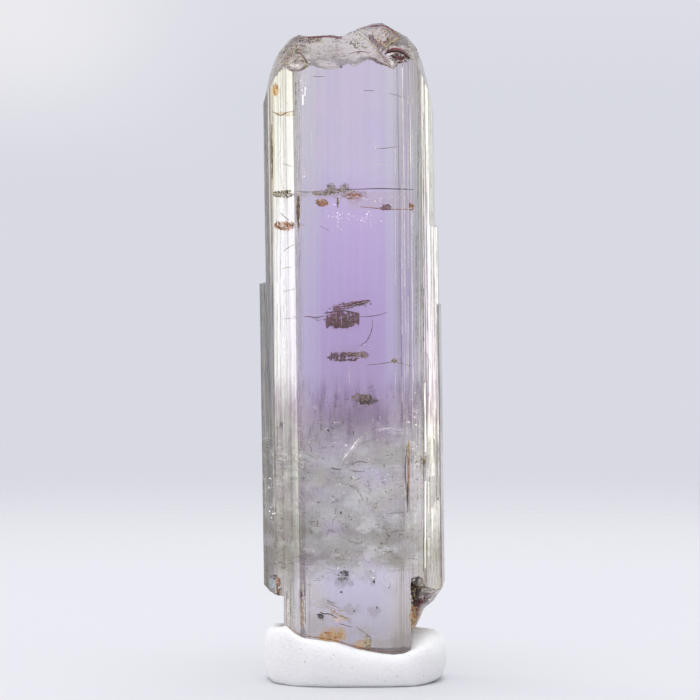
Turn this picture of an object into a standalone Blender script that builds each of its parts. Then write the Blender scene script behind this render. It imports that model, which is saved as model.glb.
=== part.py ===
"""A tanzanite crystal standing in a pad of soft white mounting putty.

Metres, +Z up. The origin is on the surface under the putty, at the middle of the object's base.
The crystal is a flattened prism that stands on its broken foot. Its broad face looks towards -Y.
"""

import math

import bmesh
import bpy
from mathutils import Matrix, Vector, noise

MM = 0.001
WELD = 0.01 * MM

# The crystal as a whole.
PRISM_LOW = 0.6 * MM
PRISM_HIGH = 38.0 * MM
LEAN = math.radians(0.8)
LEAN_PIVOT_Z = 18.0 * MM

# The cross-section's corners, in order round the prism. Each face between two corners
# carries a number of growth steps that run the whole length of the crystal.
SECTION = [
    # corner x, corner y, growth steps on the face that starts here, height of a step
    (-5.14, 0.30, 2, 0.05),
    (-4.36, -1.80, 2, 0.03),
    (-3.12, -3.38, 3, 0.03),
    (2.62, -3.45, 5, 0.09),
    (3.95, -2.50, 5, 0.07),
    (4.78, -1.05, 2, 0.05),
    (4.93, 0.20, 4, 0.06),
    (4.22, 1.95, 4, 0.08),
    (2.85, 3.28, 4, 0.04),
    (-2.75, 3.36, 4, 0.08),
    (-4.30, 1.95, 3, 0.06),
]
STEP_RUN = 0.22

# Growth layers that end part of the way up: above z, what lies outside the line is missing.
LAYERS = {
    "left_layer_end": (22.4, [(-4.20, -2.35), (-4.77, -0.50), (-4.81, 0.45), (-4.25, 2.20)], -7.0),
    "right_layer_end": (21.1, [(4.05, -2.60), (4.75, -0.95), (4.83, 0.20), (4.10, 2.30)], 7.0),
    "right_chip_end": (25.4, [(4.10, -2.60), (4.58, -0.90), (4.64, 0.25), (4.10, 2.20)], 7.0),
}
LAYER_END_DROP = 0.25

# The broken top. RIDGE is its skyline and BROW the edge where it meets the front faces.
RIDGE = [
    (-5.10, 31.2), (-4.80, 32.9), (-4.55, 34.0), (-4.15, 34.9), (-3.60, 35.5), (-3.10, 35.8),
    (-0.70, 35.8), (0.20, 36.15), (0.90, 36.45), (1.60, 36.5), (2.40, 36.05), (3.10, 35.7),
    (3.60, 35.0), (4.00, 33.8), (4.25, 32.6), (4.60, 30.6),
]
BROW = [
    (-4.60, 32.2), (-3.90, 33.8), (-3.10, 34.1), (-2.40, 34.35), (-1.90, 34.12), (-1.10, 34.08),
    (-0.33, 34.45), (0.05, 34.2), (0.87, 34.7), (1.30, 34.4), (2.28, 34.05), (2.60, 34.5),
    (3.10, 34.6), (3.60, 33.8), (4.20, 32.3),
]
BROW_BEHIND = [
    # the same edge a little way behind the front face, where its small teeth have run out
    (-4.60, 32.2), (-3.90, 33.8), (-3.10, 34.15), (-1.60, 34.2), (1.60, 34.35), (2.60, 34.4),
    (3.10, 34.35), (3.60, 33.8), (4.20, 32.3),
]
BROW_TEETH_RUN = 1.1
RIDGE_Y = 0.7
BROW_Y = -3.4
BACK_FALL = 1.3
CAP_ROUNDNESS = 1.4
SHOULDER_X = 2.7
TOP_CELLS = (44, 32)

# The smooth chip between the two caps: its plan, and how hollow it is from front to back.
CHIP_PLAN = [(-2.33, -4.2), (2.62, -4.2), (-0.10, 1.40), (-2.33, 1.40)]
CHIP_HOLLOW = 1.15
CHIP_CELLS = (14, 16)

# Shell-shaped hollows, each the print of an uneven ellipsoid: centre, radii, facets round it.
HOLLOWS = {
    "arc_hollow": ((2.42, -3.40, 34.74), (0.74, 0.62, 0.38), 24),
    "left_cap_hollow": ((-3.25, -3.45, 34.55), (0.95, 0.90, 0.62), 24),
    "back_top_hollow": ((-1.10, 4.90, 35.20), (2.60, 1.95, 2.10), 40),
    "edge_nick": ((4.98, -0.15, 25.75), (0.32, 0.60, 0.34), 20),
    "back_face_hollow": ((1.70, 5.60, 11.20), (4.20, 2.50, 5.20), 44),
    "left_corner_hollow": ((-4.65, -2.05, 5.15), (0.75, 0.65, 0.62), 24),
    "right_corner_hollow": ((3.62, -3.05, 5.45), (0.48, 0.62, 0.58), 24),
    "back_corner_hollow": ((-4.25, 3.55, 4.50), (1.40, 1.35, 1.70), 32),
}
HOLLOW_UNEVENNESS = 0.10

# The broken lower corners. Inside the two walls the prism runs on down as the foot.
FOOT_LEFT = -3.84
FOOT_RIGHT = 3.20
LEFT_BREAK_Z = 4.85
LEFT_BREAK_CURL = 0.80
RIGHT_BREAK_LOW = [(3.20, 2.45), (3.60, 3.00), (3.95, 3.85), (4.60, 4.50), (4.90, 4.90), (5.10, 5.5)]
RIGHT_BREAK_BROW = [(3.20, 5.95), (3.50, 5.55), (3.80, 5.40), (5.20, 5.45)]
RIGHT_BREAK_BROW_Y = -2.9
RIGHT_BREAK_LOW_Y = 0.9
BREAK_CELLS = (16, 30)

# The foot's broken end slopes down to the right inside the putty.
FOOT_END_Z = 1.35
FOOT_END_SLOPE = -0.06
FOOT_CELLS = (26, 22)
ROUGHNESS = 0.10

# The putty pad, and the socket that the foot stands in.
PAD_CENTRE_X = 0.13
PAD_HALF = (5.08, 4.50)
PAD_SQUARENESS = 2.5
PAD_PROFILE = [(0.0, 0.0), (0.50, 0.0), (0.80, 0.0), (0.89, 0.05), (0.97, 0.22), (1.0, 0.45),
               (0.985, 0.70), (0.93, 0.90), (0.82, 1.0), (0.55, 0.98), (0.0, 0.92)]
PAD_SEGMENTS = 36
PAD_SIDE_TOP = [(-4.0, 3.05), (2.8, 2.95), (4.2, 2.8)]
PAD_LIP = [
    (-4.6, 3.1), (-3.7, 3.35), (-3.2, 2.9), (-2.7, 2.7), (-1.8, 2.6), (-1.0, 2.45), (-0.3, 2.25),
    (0.3, 2.1), (0.8, 1.95), (1.5, 1.85), (2.3, 1.75), (2.8, 1.8), (3.3, 2.0), (4.2, 2.3),
]
PAD_BACK_TOP = [(-4.4, 2.6), (-3.0, 2.2), (-1.0, 1.85), (0.5, 1.75), (2.6, 1.7), (3.4, 2.0), (4.2, 2.2)]
PAD_LIP_Y = -3.4
PAD_SIDE_Y = -0.6
PAD_BACK_Y = (0.9, 3.0)
SOCKET_GAP = 0.3


def between(points, x):
    """The height at x along a line of (x, height) points."""
    if x <= points[0][0]:
        return points[0][1]
    for (x_a, h_a), (x_b, h_b) in zip(points, points[1:]):
        if x <= x_b:
            return h_a + (h_b - h_a) * (x - x_a) / (x_b - x_a)
    return points[-1][1]


def ease(low, high, value):
    """0 below low, 1 above high, and a smooth rise between them."""
    share = min(1.0, max(0.0, (value - low) / (high - low)))
    return share * share * (3.0 - 2.0 * share)


def rough(x, y, scale, seed):
    """Smooth noise over the plan, from -1 to 1."""
    return noise.noise(Vector((x * scale, y * scale, seed)))


def stepped_section(corners):
    """The prism's outline, with small risers that face sideways on every face."""
    outline = []
    for index, (x_a, y_a, steps, height) in enumerate(corners):
        x_b, y_b = corners[(index + 1) % len(corners)][:2]
        along = Vector((x_b - x_a, y_b - y_a))
        inward = Vector((-along.y, along.x)).normalized()
        outline.append((x_a, y_a))
        for step in range(steps):
            middle = (step + 0.5 + 0.22 * math.sin(2.4 * step + index)) / steps
            run = STEP_RUN / (steps + 1)
            drop = height * (0.55 + 0.45 * math.sin(1.7 * step + 0.6 * index))
            first = Vector((x_a, y_a)) + along * (middle - run)
            second = Vector((x_a, y_a)) + along * middle + inward * drop
            outline.append(tuple(first))
            outline.append(tuple(second))
    return outline


def prism_mesh(name, outline, z_low, z_high):
    """A closed prism over a flat outline in millimetres."""
    curve = bpy.data.curves.new(name, "CURVE")
    curve.dimensions = "2D"
    curve.fill_mode = "BOTH"
    curve.extrude = (z_high - z_low) / 2
    spline = curve.splines.new("POLY")
    spline.points.add(len(outline) - 1)
    spline.use_cyclic_u = True
    for point, (x, y) in zip(spline.points, outline):
        point.co = (x * MM, y * MM, 0.0, 1.0)
    flat = bpy.data.objects.new(name, curve)
    flat.location.z = (z_low + z_high) / 2
    bpy.context.scene.collection.objects.link(flat)
    graph = bpy.context.evaluated_depsgraph_get()
    mesh = bpy.data.meshes.new_from_object(flat.evaluated_get(graph))
    mesh.transform(Matrix.Translation(flat.location))
    bpy.data.objects.remove(flat)
    bpy.data.curves.remove(curve)
    form = bmesh.new()
    form.from_mesh(mesh)
    bmesh.ops.remove_doubles(form, verts=form.verts, dist=WELD)
    bmesh.ops.recalc_face_normals(form, faces=form.faces)
    form.to_mesh(mesh)
    form.free()
    mesh.shade_flat()
    return mesh


def lean(mesh):
    """Tip a mesh to the left by the crystal's lean, about a point half-way up."""
    pivot = Matrix.Translation((0.0, 0.0, LEAN_PIVOT_Z))
    mesh.transform(pivot @ Matrix.Rotation(-LEAN, 4, "Y") @ pivot.inverted())


def oblong(x_low, x_high):
    """The plan of a block that is deeper than the crystal."""
    return [(x_low, -4.4), (x_high, -4.4), (x_high, 4.4), (x_low, 4.4)]


def rough_block(name, plan, cells, height, far_z):
    """A closed block over a four-sided plan in millimetres, with one uneven side to cut with."""
    form = bmesh.new()
    bmesh.ops.create_grid(form, x_segments=cells[0], y_segments=cells[1], size=0.5)
    front_left, front_right, back_right, back_left = [Vector(corner) for corner in plan]
    for vert in form.verts:
        front = front_left.lerp(front_right, vert.co.x + 0.5)
        back = back_left.lerp(back_right, vert.co.x + 0.5)
        x, y = front.lerp(back, vert.co.y + 0.5)
        vert.co = Vector((x, y, height(x, y))) * MM
    grown = bmesh.ops.extrude_face_region(form, geom=form.faces[:])
    for item in grown["geom"]:
        if isinstance(item, bmesh.types.BMVert):
            item.co.z = far_z * MM
    bmesh.ops.recalc_face_normals(form, faces=form.faces)
    mesh = bpy.data.meshes.new(name)
    form.to_mesh(mesh)
    form.free()
    return mesh


def hollow_mesh(name, centre, radii, segments):
    """An uneven ellipsoid in millimetres, which a shell-shaped hollow is cut with."""
    form = bmesh.new()
    bmesh.ops.create_uvsphere(form, u_segments=segments, v_segments=segments // 2, radius=1.0)
    for vert in form.verts:
        vert.co *= 1.0 + HOLLOW_UNEVENNESS * noise.noise(1.3 * vert.co + Vector(centre))
    bmesh.ops.scale(form, vec=Vector(radii) * MM, verts=form.verts)
    bmesh.ops.translate(form, vec=Vector(centre) * MM, verts=form.verts)
    mesh = bpy.data.meshes.new(name)
    form.to_mesh(mesh)
    form.free()
    return mesh


def brow_height(x, y):
    """The brow, whose small teeth are only as deep as a short run from the front face."""
    teeth = 1.0 - ease(BROW_Y, BROW_Y + BROW_TEETH_RUN, y)
    behind = between(BROW_BEHIND, x)
    return behind + (between(BROW, x) - behind) * teeth


def top_height(x, y):
    """The broken top, rounded from the brow over the skyline to the back."""
    skyline = between(RIDGE, x)
    brow = brow_height(x, y)
    share = min(1.0, max(0.0, (y - BROW_Y) / (RIDGE_Y - BROW_Y)))
    height = brow + (skyline - brow) * (1.0 - (1.0 - share) ** CAP_ROUNDNESS)
    height -= BACK_FALL * ease(RIDGE_Y, 4.0, y) ** 1.5
    uneven = ROUGHNESS * (1.0 - 0.8 * ease(SHOULDER_X - 0.5, SHOULDER_X + 0.5, x))
    return height + uneven * (rough(x, y, 1.1, 3.0) + 0.5 * rough(x, y, 3.3, 8.0))


def chip_height(x, y):
    """The chip's smooth floor, which climbs from the brow through the skyline."""
    skyline = between(RIDGE, x)
    brow = brow_height(x, y)
    share = max(0.0, (y - BROW_Y) / (RIDGE_Y - BROW_Y))
    return brow + (skyline - brow) * share ** CHIP_HOLLOW


def left_break_height(x, y):
    """The lower left corner's break, curling up towards the outer edge."""
    outward = max(0.0, FOOT_LEFT - x) / 1.4
    return LEFT_BREAK_Z + LEFT_BREAK_CURL * outward ** 3 + ROUGHNESS * rough(x, y, 1.6, 21.0)


def right_break_height(x, y):
    """The lower right corner's break, which slopes down from the front to the middle."""
    low = between(RIGHT_BREAK_LOW, x)
    brow = between(RIGHT_BREAK_BROW, x)
    share = ease(RIGHT_BREAK_BROW_Y, RIGHT_BREAK_LOW_Y, y)
    back = 0.5 * ease(RIGHT_BREAK_LOW_Y + 0.6, 3.4, y)
    return brow + (low - brow) * share + back + ROUGHNESS * rough(x, y, 1.9, 33.0)


def foot_end_height(x, y):
    """The foot's broken end inside the putty."""
    return FOOT_END_Z + FOOT_END_SLOPE * x + ROUGHNESS * rough(x, y, 1.3, 47.0)


def material(name, colour, roughness, transmission=0.0, ior=1.5):
    """A plain Principled material."""
    made = bpy.data.materials.new(name)
    made.use_nodes = True
    shader = made.node_tree.nodes["Principled BSDF"]
    shader.inputs["Base Color"].default_value = (*colour, 1.0)
    shader.inputs["Metallic"].default_value = 0.0
    shader.inputs["Roughness"].default_value = roughness
    shader.inputs["Transmission Weight"].default_value = transmission
    shader.inputs["IOR"].default_value = ior
    return made


def add_object(name, mesh, collection):
    """A new object in a collection."""
    made = bpy.data.objects.new(name, mesh)
    collection.objects.link(made)
    return made


def cut(piece, name, mesh, cutters):
    """Take a cutter's shape out of a piece with a live Boolean."""
    cutter = add_object(name, mesh, cutters)
    cutter.hide_render = True
    cutter.display_type = "WIRE"
    change = piece.modifiers.new(name, "BOOLEAN")
    change.operation = "DIFFERENCE"
    change.solver = "EXACT"
    change.object = cutter


def layer_end_mesh(name, level, line, far_x):
    """The space above a growth layer's end, with a sloping ledge at its foot."""
    outline = line + [(far_x, line[-1][1]), (far_x, line[0][1])]
    mesh = prism_mesh(name, outline, level * MM, PRISM_HIGH + MM)
    for vert in mesh.vertices:
        if vert.co.z < (level + 1.0) * MM:
            vert.co.z -= LAYER_END_DROP * (abs(vert.co.x) / MM - 4.0) * MM
    lean(mesh)
    return mesh


def build_crystal(parts, cutters):
    """The whole crystal: a stepped prism, its ended layers, its broken top, corners and foot."""
    mesh = prism_mesh("crystal", stepped_section(SECTION), PRISM_LOW, PRISM_HIGH)
    lean(mesh)
    crystal = add_object("crystal", mesh, parts)
    for name, (level, line, far_x) in LAYERS.items():
        cut(crystal, name, layer_end_mesh(name, level, line, far_x), cutters)
    breaks = {
        "top_break": (oblong(-6.0, 6.0), TOP_CELLS, top_height, 42.0),
        "chip": (CHIP_PLAN, CHIP_CELLS, chip_height, 42.0),
        "left_break": (oblong(-6.2, FOOT_LEFT), BREAK_CELLS, left_break_height, -2.0),
        "right_break": (oblong(FOOT_RIGHT, 6.2), BREAK_CELLS, right_break_height, -2.0),
        "foot_break": (oblong(-5.0, 5.0), FOOT_CELLS, foot_end_height, -3.0),
    }
    for name, (plan, cells, height, far_z) in breaks.items():
        cut(crystal, name, rough_block(name, plan, cells, height, far_z), cutters)
    for name, (centre, radii, segments) in HOLLOWS.items():
        cut(crystal, name, hollow_mesh(name, centre, radii, segments), cutters)
    crystal.data.materials.append(material("tanzanite", (0.78, 0.66, 0.93), 0.04, 1.0, 1.69))
    return crystal


def pad_top(x, y):
    """The height of the pad's upper side: a lip in front, highest at the sides, low behind."""
    lip = between(PAD_LIP, x)
    side = between(PAD_SIDE_TOP, x)
    front = lip + (side - lip) * ease(PAD_LIP_Y, PAD_SIDE_Y, y)
    return front + (between(PAD_BACK_TOP, x) - side) * ease(*PAD_BACK_Y, y)


def pad_mesh(name):
    """The putty as a turned form, pressed out of round and flat underneath."""
    form = bmesh.new()
    rings = []
    for radius, _ in PAD_PROFILE[1:-1]:
        ring = []
        for step in range(PAD_SEGMENTS):
            angle = math.tau * step / PAD_SEGMENTS
            ring.append(form.verts.new((radius * math.cos(angle), radius * math.sin(angle), 0.0)))
        rings.append(ring)
    for level, ring in zip([entry[1] for entry in PAD_PROFILE[1:-1]], rings):
        for vert in ring:
            angle = math.atan2(vert.co.y, vert.co.x)
            radius = math.hypot(vert.co.x, vert.co.y)
            power = PAD_SQUARENESS
            stretch = (abs(math.cos(angle)) ** power + abs(math.sin(angle)) ** power) ** (-1 / power)
            wobble = 1.0 + 0.03 * noise.noise(Vector((2 * math.cos(angle), 2 * math.sin(angle), level)))
            x = PAD_CENTRE_X + PAD_HALF[0] * radius * stretch * wobble * math.cos(angle)
            y = PAD_HALF[1] * radius * stretch * wobble * math.sin(angle)
            vert.co = Vector((x, y, level * pad_top(x, y))) * MM
    for lower, upper in zip(rings, rings[1:]):
        for step in range(PAD_SEGMENTS):
            after = (step + 1) % PAD_SEGMENTS
            form.faces.new((lower[step], lower[after], upper[after], upper[step]))
    form.faces.new(list(reversed(rings[0])))
    form.faces.new(rings[-1])
    bmesh.ops.recalc_face_normals(form, faces=form.faces)
    mesh = bpy.data.meshes.new(name)
    form.to_mesh(mesh)
    form.free()
    mesh.shade_smooth()
    return mesh


def socket_mesh(name):
    """The foot's section grown by the gap, with a floor under the foot's broken end."""
    corners = [(x, y) for x, y, _, _ in SECTION]
    across = 1.0 + SOCKET_GAP / FOOT_RIGHT
    deep = 1.0 + SOCKET_GAP / 3.2
    outline = []
    for x, y in corners:
        held = min(FOOT_RIGHT + 0.25, max(FOOT_LEFT - 0.05, x + 0.27))
        outline.append((held * across - 0.02, y * deep))
    mesh = prism_mesh(name, outline, 0.0, 8.0 * MM)
    for vert in mesh.vertices:
        if vert.co.z < MM:
            floor = FOOT_END_Z + FOOT_END_SLOPE * vert.co.x / MM - ROUGHNESS - SOCKET_GAP
            vert.co.z = floor * MM
    return mesh


def build_putty(parts, cutters):
    """The pad of mounting putty, with the socket that the foot was pressed into it."""
    putty = add_object("mounting_putty", pad_mesh("mounting_putty"), parts)
    soften = putty.modifiers.new("soften", "SUBSURF")
    soften.levels = 1
    soften.render_levels = 1
    cut(putty, "socket", socket_mesh("socket"), cutters)
    putty.data.materials.append(material("white_putty", (0.86, 0.86, 0.87), 0.75))
    return putty


def main():
    """Clear the scene, then build the two pieces."""
    for old in list(bpy.data.objects):
        bpy.data.objects.remove(old)
    parts = bpy.data.collections.new("tanzanite_crystal")
    cutters = bpy.data.collections.new("cutters")
    bpy.context.scene.collection.children.link(parts)
    bpy.context.scene.collection.children.link(cutters)
    build_crystal(parts, cutters)
    build_putty(parts, cutters)


main()
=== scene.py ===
import math
import random

import bmesh
import bpy
from mathutils import Euler, Matrix, Vector, noise
from mathutils.bvhtree import BVHTree


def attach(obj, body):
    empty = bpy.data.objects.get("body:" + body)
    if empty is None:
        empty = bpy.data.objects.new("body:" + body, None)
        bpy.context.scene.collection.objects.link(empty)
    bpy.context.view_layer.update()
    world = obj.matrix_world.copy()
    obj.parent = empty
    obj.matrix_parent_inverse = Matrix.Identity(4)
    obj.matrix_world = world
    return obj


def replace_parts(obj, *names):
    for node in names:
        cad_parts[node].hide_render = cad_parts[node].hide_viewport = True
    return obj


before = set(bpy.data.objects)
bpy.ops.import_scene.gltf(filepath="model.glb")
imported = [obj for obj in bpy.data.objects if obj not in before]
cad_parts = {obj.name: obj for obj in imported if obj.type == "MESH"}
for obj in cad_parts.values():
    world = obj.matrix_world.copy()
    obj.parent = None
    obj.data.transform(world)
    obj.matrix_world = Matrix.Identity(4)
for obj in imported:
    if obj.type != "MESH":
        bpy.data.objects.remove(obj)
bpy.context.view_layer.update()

MM = 0.001


# Small helpers

def between(points, x):
    """The value at x along a line of (x, value) points."""
    if x <= points[0][0]:
        return points[0][1]
    for (x_a, v_a), (x_b, v_b) in zip(points, points[1:]):
        if x <= x_b:
            return v_a + (v_b - v_a) * (x - x_a) / (x_b - x_a)
    return points[-1][1]


def ease(low, high, value):
    """0 below low, 1 above high, and a smooth rise between them."""
    share = min(1.0, max(0.0, (value - low) / (high - low)))
    return share * share * (3.0 - 2.0 * share)


def noise_at(*place):
    """Smooth noise from about -1 to 1 at a place."""
    return noise.noise(Vector(place))


def new_piece(name, form, material):
    """A finished piece from a bmesh, with its material, riding on the root."""
    mesh = bpy.data.meshes.new(name)
    form.to_mesh(mesh)
    form.free()
    mesh.materials.append(material)
    piece = bpy.data.objects.new(name, mesh)
    bpy.context.scene.collection.objects.link(piece)
    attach(piece, "root")
    return piece


def pour(source, form):
    """Add what one bmesh holds to another, and free the first."""
    mesh = bpy.data.meshes.new("poured")
    source.to_mesh(mesh)
    source.free()
    form.from_mesh(mesh)
    bpy.data.meshes.remove(mesh)


class Graph:
    """Adds nodes to one tree and links them, so that a material reads as one flow."""

    def __init__(self, tree):
        self.tree = tree

    def feed(self, socket, value):
        """Link a socket to another socket, or set its value."""
        if isinstance(value, bpy.types.NodeSocket):
            self.tree.links.new(value, socket)
        else:
            socket.default_value = value

    def add(self, kind, inputs=None, **settings):
        """A new node with its settings and inputs."""
        node = self.tree.nodes.new(kind)
        for key, value in settings.items():
            setattr(node, key, value)
        for key, value in (inputs or {}).items():
            self.feed(node.inputs[key], value)
        return node

    def group(self, tree, **inputs):
        """A node group with its inputs by name; its one output."""
        return self.add("ShaderNodeGroup", inputs, node_tree=tree).outputs[0]

    def millimetres(self):
        """The place on the object in millimetres."""
        place = self.add("ShaderNodeTexCoord").outputs["Object"]
        return self.stretch(place, (1000.0, 1000.0, 1000.0))

    def math(self, operation, *values):
        """One maths node."""
        return self.add("ShaderNodeMath", dict(enumerate(values)), operation=operation).outputs[0]

    def times(self, first, *others):
        """The product of its values."""
        for value in others:
            first = self.math("MULTIPLY", first, value)
        return first

    def scaled(self, value, factor, shift):
        """A value times a factor, plus a shift."""
        return self.math("MULTIPLY_ADD", value, factor, shift)

    def rise(self, value, low, high):
        """0 below low, 1 above high, smooth between; falls instead when low is above high."""
        inputs = {"Value": value, "From Min": min(low, high), "From Max": max(low, high),
                  "To Min": float(low > high), "To Max": float(low < high)}
        node = self.add("ShaderNodeMapRange", inputs, interpolation_type="SMOOTHSTEP")
        return node.outputs["Result"]

    def band(self, value, start, full, fall, end):
        """A smooth band: 0 outside start and end, 1 from full to fall."""
        return self.times(self.rise(value, start, full), self.rise(value, end, fall))

    def mix(self, factor, first, second, blend="MIX"):
        """A colour mix."""
        node = self.add("ShaderNodeMix", data_type="RGBA", blend_type=blend)
        self.feed(node.inputs["Factor"], factor)
        for socket, value in ((node.inputs[6], first), (node.inputs[7], second)):
            self.feed(socket, (*value, 1.0) if isinstance(value, tuple) else value)
        return node.outputs[2]

    def darken(self, factor, colour, tint):
        """A colour multiplied by a tint."""
        return self.mix(factor, colour, tint, "MULTIPLY")

    def ramp(self, value, stops):
        """A colour ramp from (place, colour) stops."""
        node = self.add("ShaderNodeValToRGB", {"Fac": value})
        elements = node.color_ramp.elements
        while len(elements) > 1:
            elements.remove(elements[-1])
        elements[0].position, elements[0].color = stops[0][0], (*stops[0][1], 1.0)
        for place, colour in stops[1:]:
            elements.new(place).color = (*colour, 1.0)
        return node.outputs["Color"]

    def stretch(self, vector, scale, shift=(0.0, 0.0, 0.0)):
        """A vector scaled and moved."""
        node = self.add("ShaderNodeMapping", {"Vector": vector, "Scale": scale, "Location": shift})
        return node.outputs["Vector"]

    def noise(self, vector, scale, detail=2.0, roughness=0.5, shift=(0.0, 0.0, 0.0)):
        """Noise from 0 to 1 on a vector. A scale with three parts stretches it."""
        if isinstance(scale, tuple):
            vector, scale = self.stretch(vector, scale, shift), 1.0
        inputs = {"Vector": vector, "Scale": scale, "Detail": detail, "Roughness": roughness}
        return self.add("ShaderNodeTexNoise", inputs).outputs["Fac"]

    def length(self, vector):
        """How long a vector is."""
        return self.add("ShaderNodeVectorMath", {0: vector}, operation="LENGTH").outputs["Value"]

    def bump(self, shader, height, distance, strength):
        """Relief on a shader's normal, its height in metres."""
        inputs = {"Height": height, "Distance": distance, "Strength": strength}
        normal = self.add("ShaderNodeBump", inputs).outputs["Normal"]
        self.feed(shader.inputs["Normal"], normal)


def new_material(name, colour, roughness, **values):
    """A Principled material and its graph. Values that never vary go straight on its sockets."""
    made = bpy.data.materials.new(name)
    made.use_nodes = True
    shader = made.node_tree.nodes["Principled BSDF"]
    shader.inputs["Base Color"].default_value = (*colour, 1.0)
    shader.inputs["Roughness"].default_value = roughness
    for key, value in values.items():
        shader.inputs[key.replace("_", " ")].default_value = value
    return made, Graph(made.node_tree), shader


# Materials

IOR = 1.69
ABSORBED = {"Color": (0.88, 0.78, 1.0, 1.0), "Density": 30.0}
CLEARER = (1.025, 1.045, 1.0)   # makes up for what the crystal's body absorbs from front to back
RAMP_TOP = 37.0                 # the height in millimetres at the end of a colour ramp

# The crystal's colours by height in millimetres, for each upright part of it. The bevels' pale cream
# bands are a painted highlight where the side panels light them.
ZONES = {
    "deep": [
        (2.5, (0.5, 0.47, 0.53)), (5.8, (0.66, 0.62, 0.77)), (7.0, (0.4, 0.38, 0.34)),
        (8.3, (0.3, 0.28, 0.24)), (10.2, (0.62, 0.59, 0.62)), (13.0, (0.56, 0.5, 0.56)),
        (14.5, (0.3, 0.215, 0.305)), (16.6, (0.52, 0.395, 0.63)), (19.5, (0.56, 0.42, 0.72)),
        (23.0, (0.63, 0.485, 0.81)), (26.0, (0.69, 0.55, 0.85)), (28.5, (0.745, 0.655, 0.85)),
        (33.5, (0.765, 0.68, 0.83)),
    ],
    "pale": [
        (2.5, (0.5, 0.46, 0.44)), (5.8, (0.76, 0.72, 0.76)), (7.2, (0.22, 0.195, 0.165)),
        (8.4, (0.25, 0.225, 0.19)), (10.2, (0.65, 0.62, 0.65)), (14.0, (0.5, 0.41, 0.475)),
        (17.0, (0.62, 0.54, 0.76)), (23.0, (0.66, 0.6, 0.78)), (28.5, (0.73, 0.69, 0.77)),
        (33.5, (0.78, 0.75, 0.77)),
    ],
    "left bevel": [
        (3.0, (0.66, 0.6, 0.5)), (7.5, (0.14, 0.11, 0.08)), (10.3, (0.185, 0.152, 0.165)),
        (13.0, (0.145, 0.118, 0.148)), (15.3, (0.34, 0.32, 0.31)), (17.2, (0.86, 0.93, 0.78)),
        (24.0, (0.9, 1.0, 0.84)), (30.0, (0.72, 0.74, 0.62)), (34.0, (0.6, 0.57, 0.44)),
    ],
    "right bevel": [
        (3.0, (0.6, 0.55, 0.44)), (7.4, (0.5, 0.46, 0.35)), (9.2, (0.97, 0.94, 0.84)),
        (14.0, (0.97, 0.97, 0.86)), (18.0, (0.97, 1.0, 0.83)), (24.0, (0.62, 0.67, 0.53)),
        (30.0, (0.72, 0.74, 0.62)), (34.0, (0.66, 0.64, 0.52)),
    ],
    # The left side's near-black ramp is painted shade.
    "left side": [
        (5.0, (0.045, 0.02, 0.005)), (9.0, (0.07, 0.05, 0.03)), (13.0, (0.058, 0.052, 0.056)),
        (21.5, (0.062, 0.06, 0.068)), (23.5, (0.18, 0.155, 0.12)), (34.0, (0.26, 0.22, 0.165)),
    ],
}
THREAD_BROWN = (0.60, 0.57, 0.52)
RUN_MAUVE = (0.58, 0.50, 0.60)
BEVEL_CREAM = (0.97, 0.95, 0.90)
STREAK_GREY = (0.34, 0.32, 0.28)
BLOTCH_BROWN = (0.055, 0.038, 0.020)
SEAM_BROWN = (0.62, 0.52, 0.48)
UPRIGHT_BANDS = [
    (0.34, (0.9, 0.86, 0.96)), (0.46, (1.0, 1.0, 1.0)), (0.56, (1.0, 0.99, 1.0)),
    (0.66, (1.0, 0.93, 0.98)),
]
CLOUD_PALE = (0.90, 0.89, 0.88)
CLOUD_DULL = (0.33, 0.31, 0.27)
CLOUD_LEFT = (0.81, 0.79, 0.80)
CLOUD_BEHIND = (0.95, 0.95, 0.93)
CLOUD_BEFORE = (0.78, 0.78, 0.77)
CLOUD_TINTS = [
    (0.36, (0.86, 0.95, 0.84)), (0.45, (1.0, 1.0, 0.93)), (0.52, (1.0, 1.0, 1.0)),
    (0.62, (0.97, 0.9, 1.0)),
]
BREAK_BROWN = (0.165, 0.118, 0.056)
BREAK_BEIGE = (0.56, 0.47, 0.30)
CHIP_BEIGE = (0.56, 0.54, 0.37)
SMEAR_BROWN = (0.085, 0.048, 0.030)
SPECK_BLACK = (0.022, 0.012, 0.012)
SPOT_RAGGED = 2.2               # how unevenly the rim of a tinted spot is worn


def heights(stops):
    """Ramp stops from (height in millimetres, colour) pairs."""
    return [(height / RAMP_TOP, tuple(min(1.0, part * more) for part, more in zip(colour, CLEARER)))
            for height, colour in stops]


def spot_mask(graph, mm, uneven, centre, size):
    """A soft ragged spot: 1 in the middle and 0 outside."""
    shift = [-c / s for c, s in zip(centre, size)]
    local = graph.stretch(mm, [1.0 / s for s in size], shift)
    reach = graph.scaled(uneven, SPOT_RAGGED, graph.length(local))
    return graph.rise(reach, 1.15, 0.55)
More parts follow.
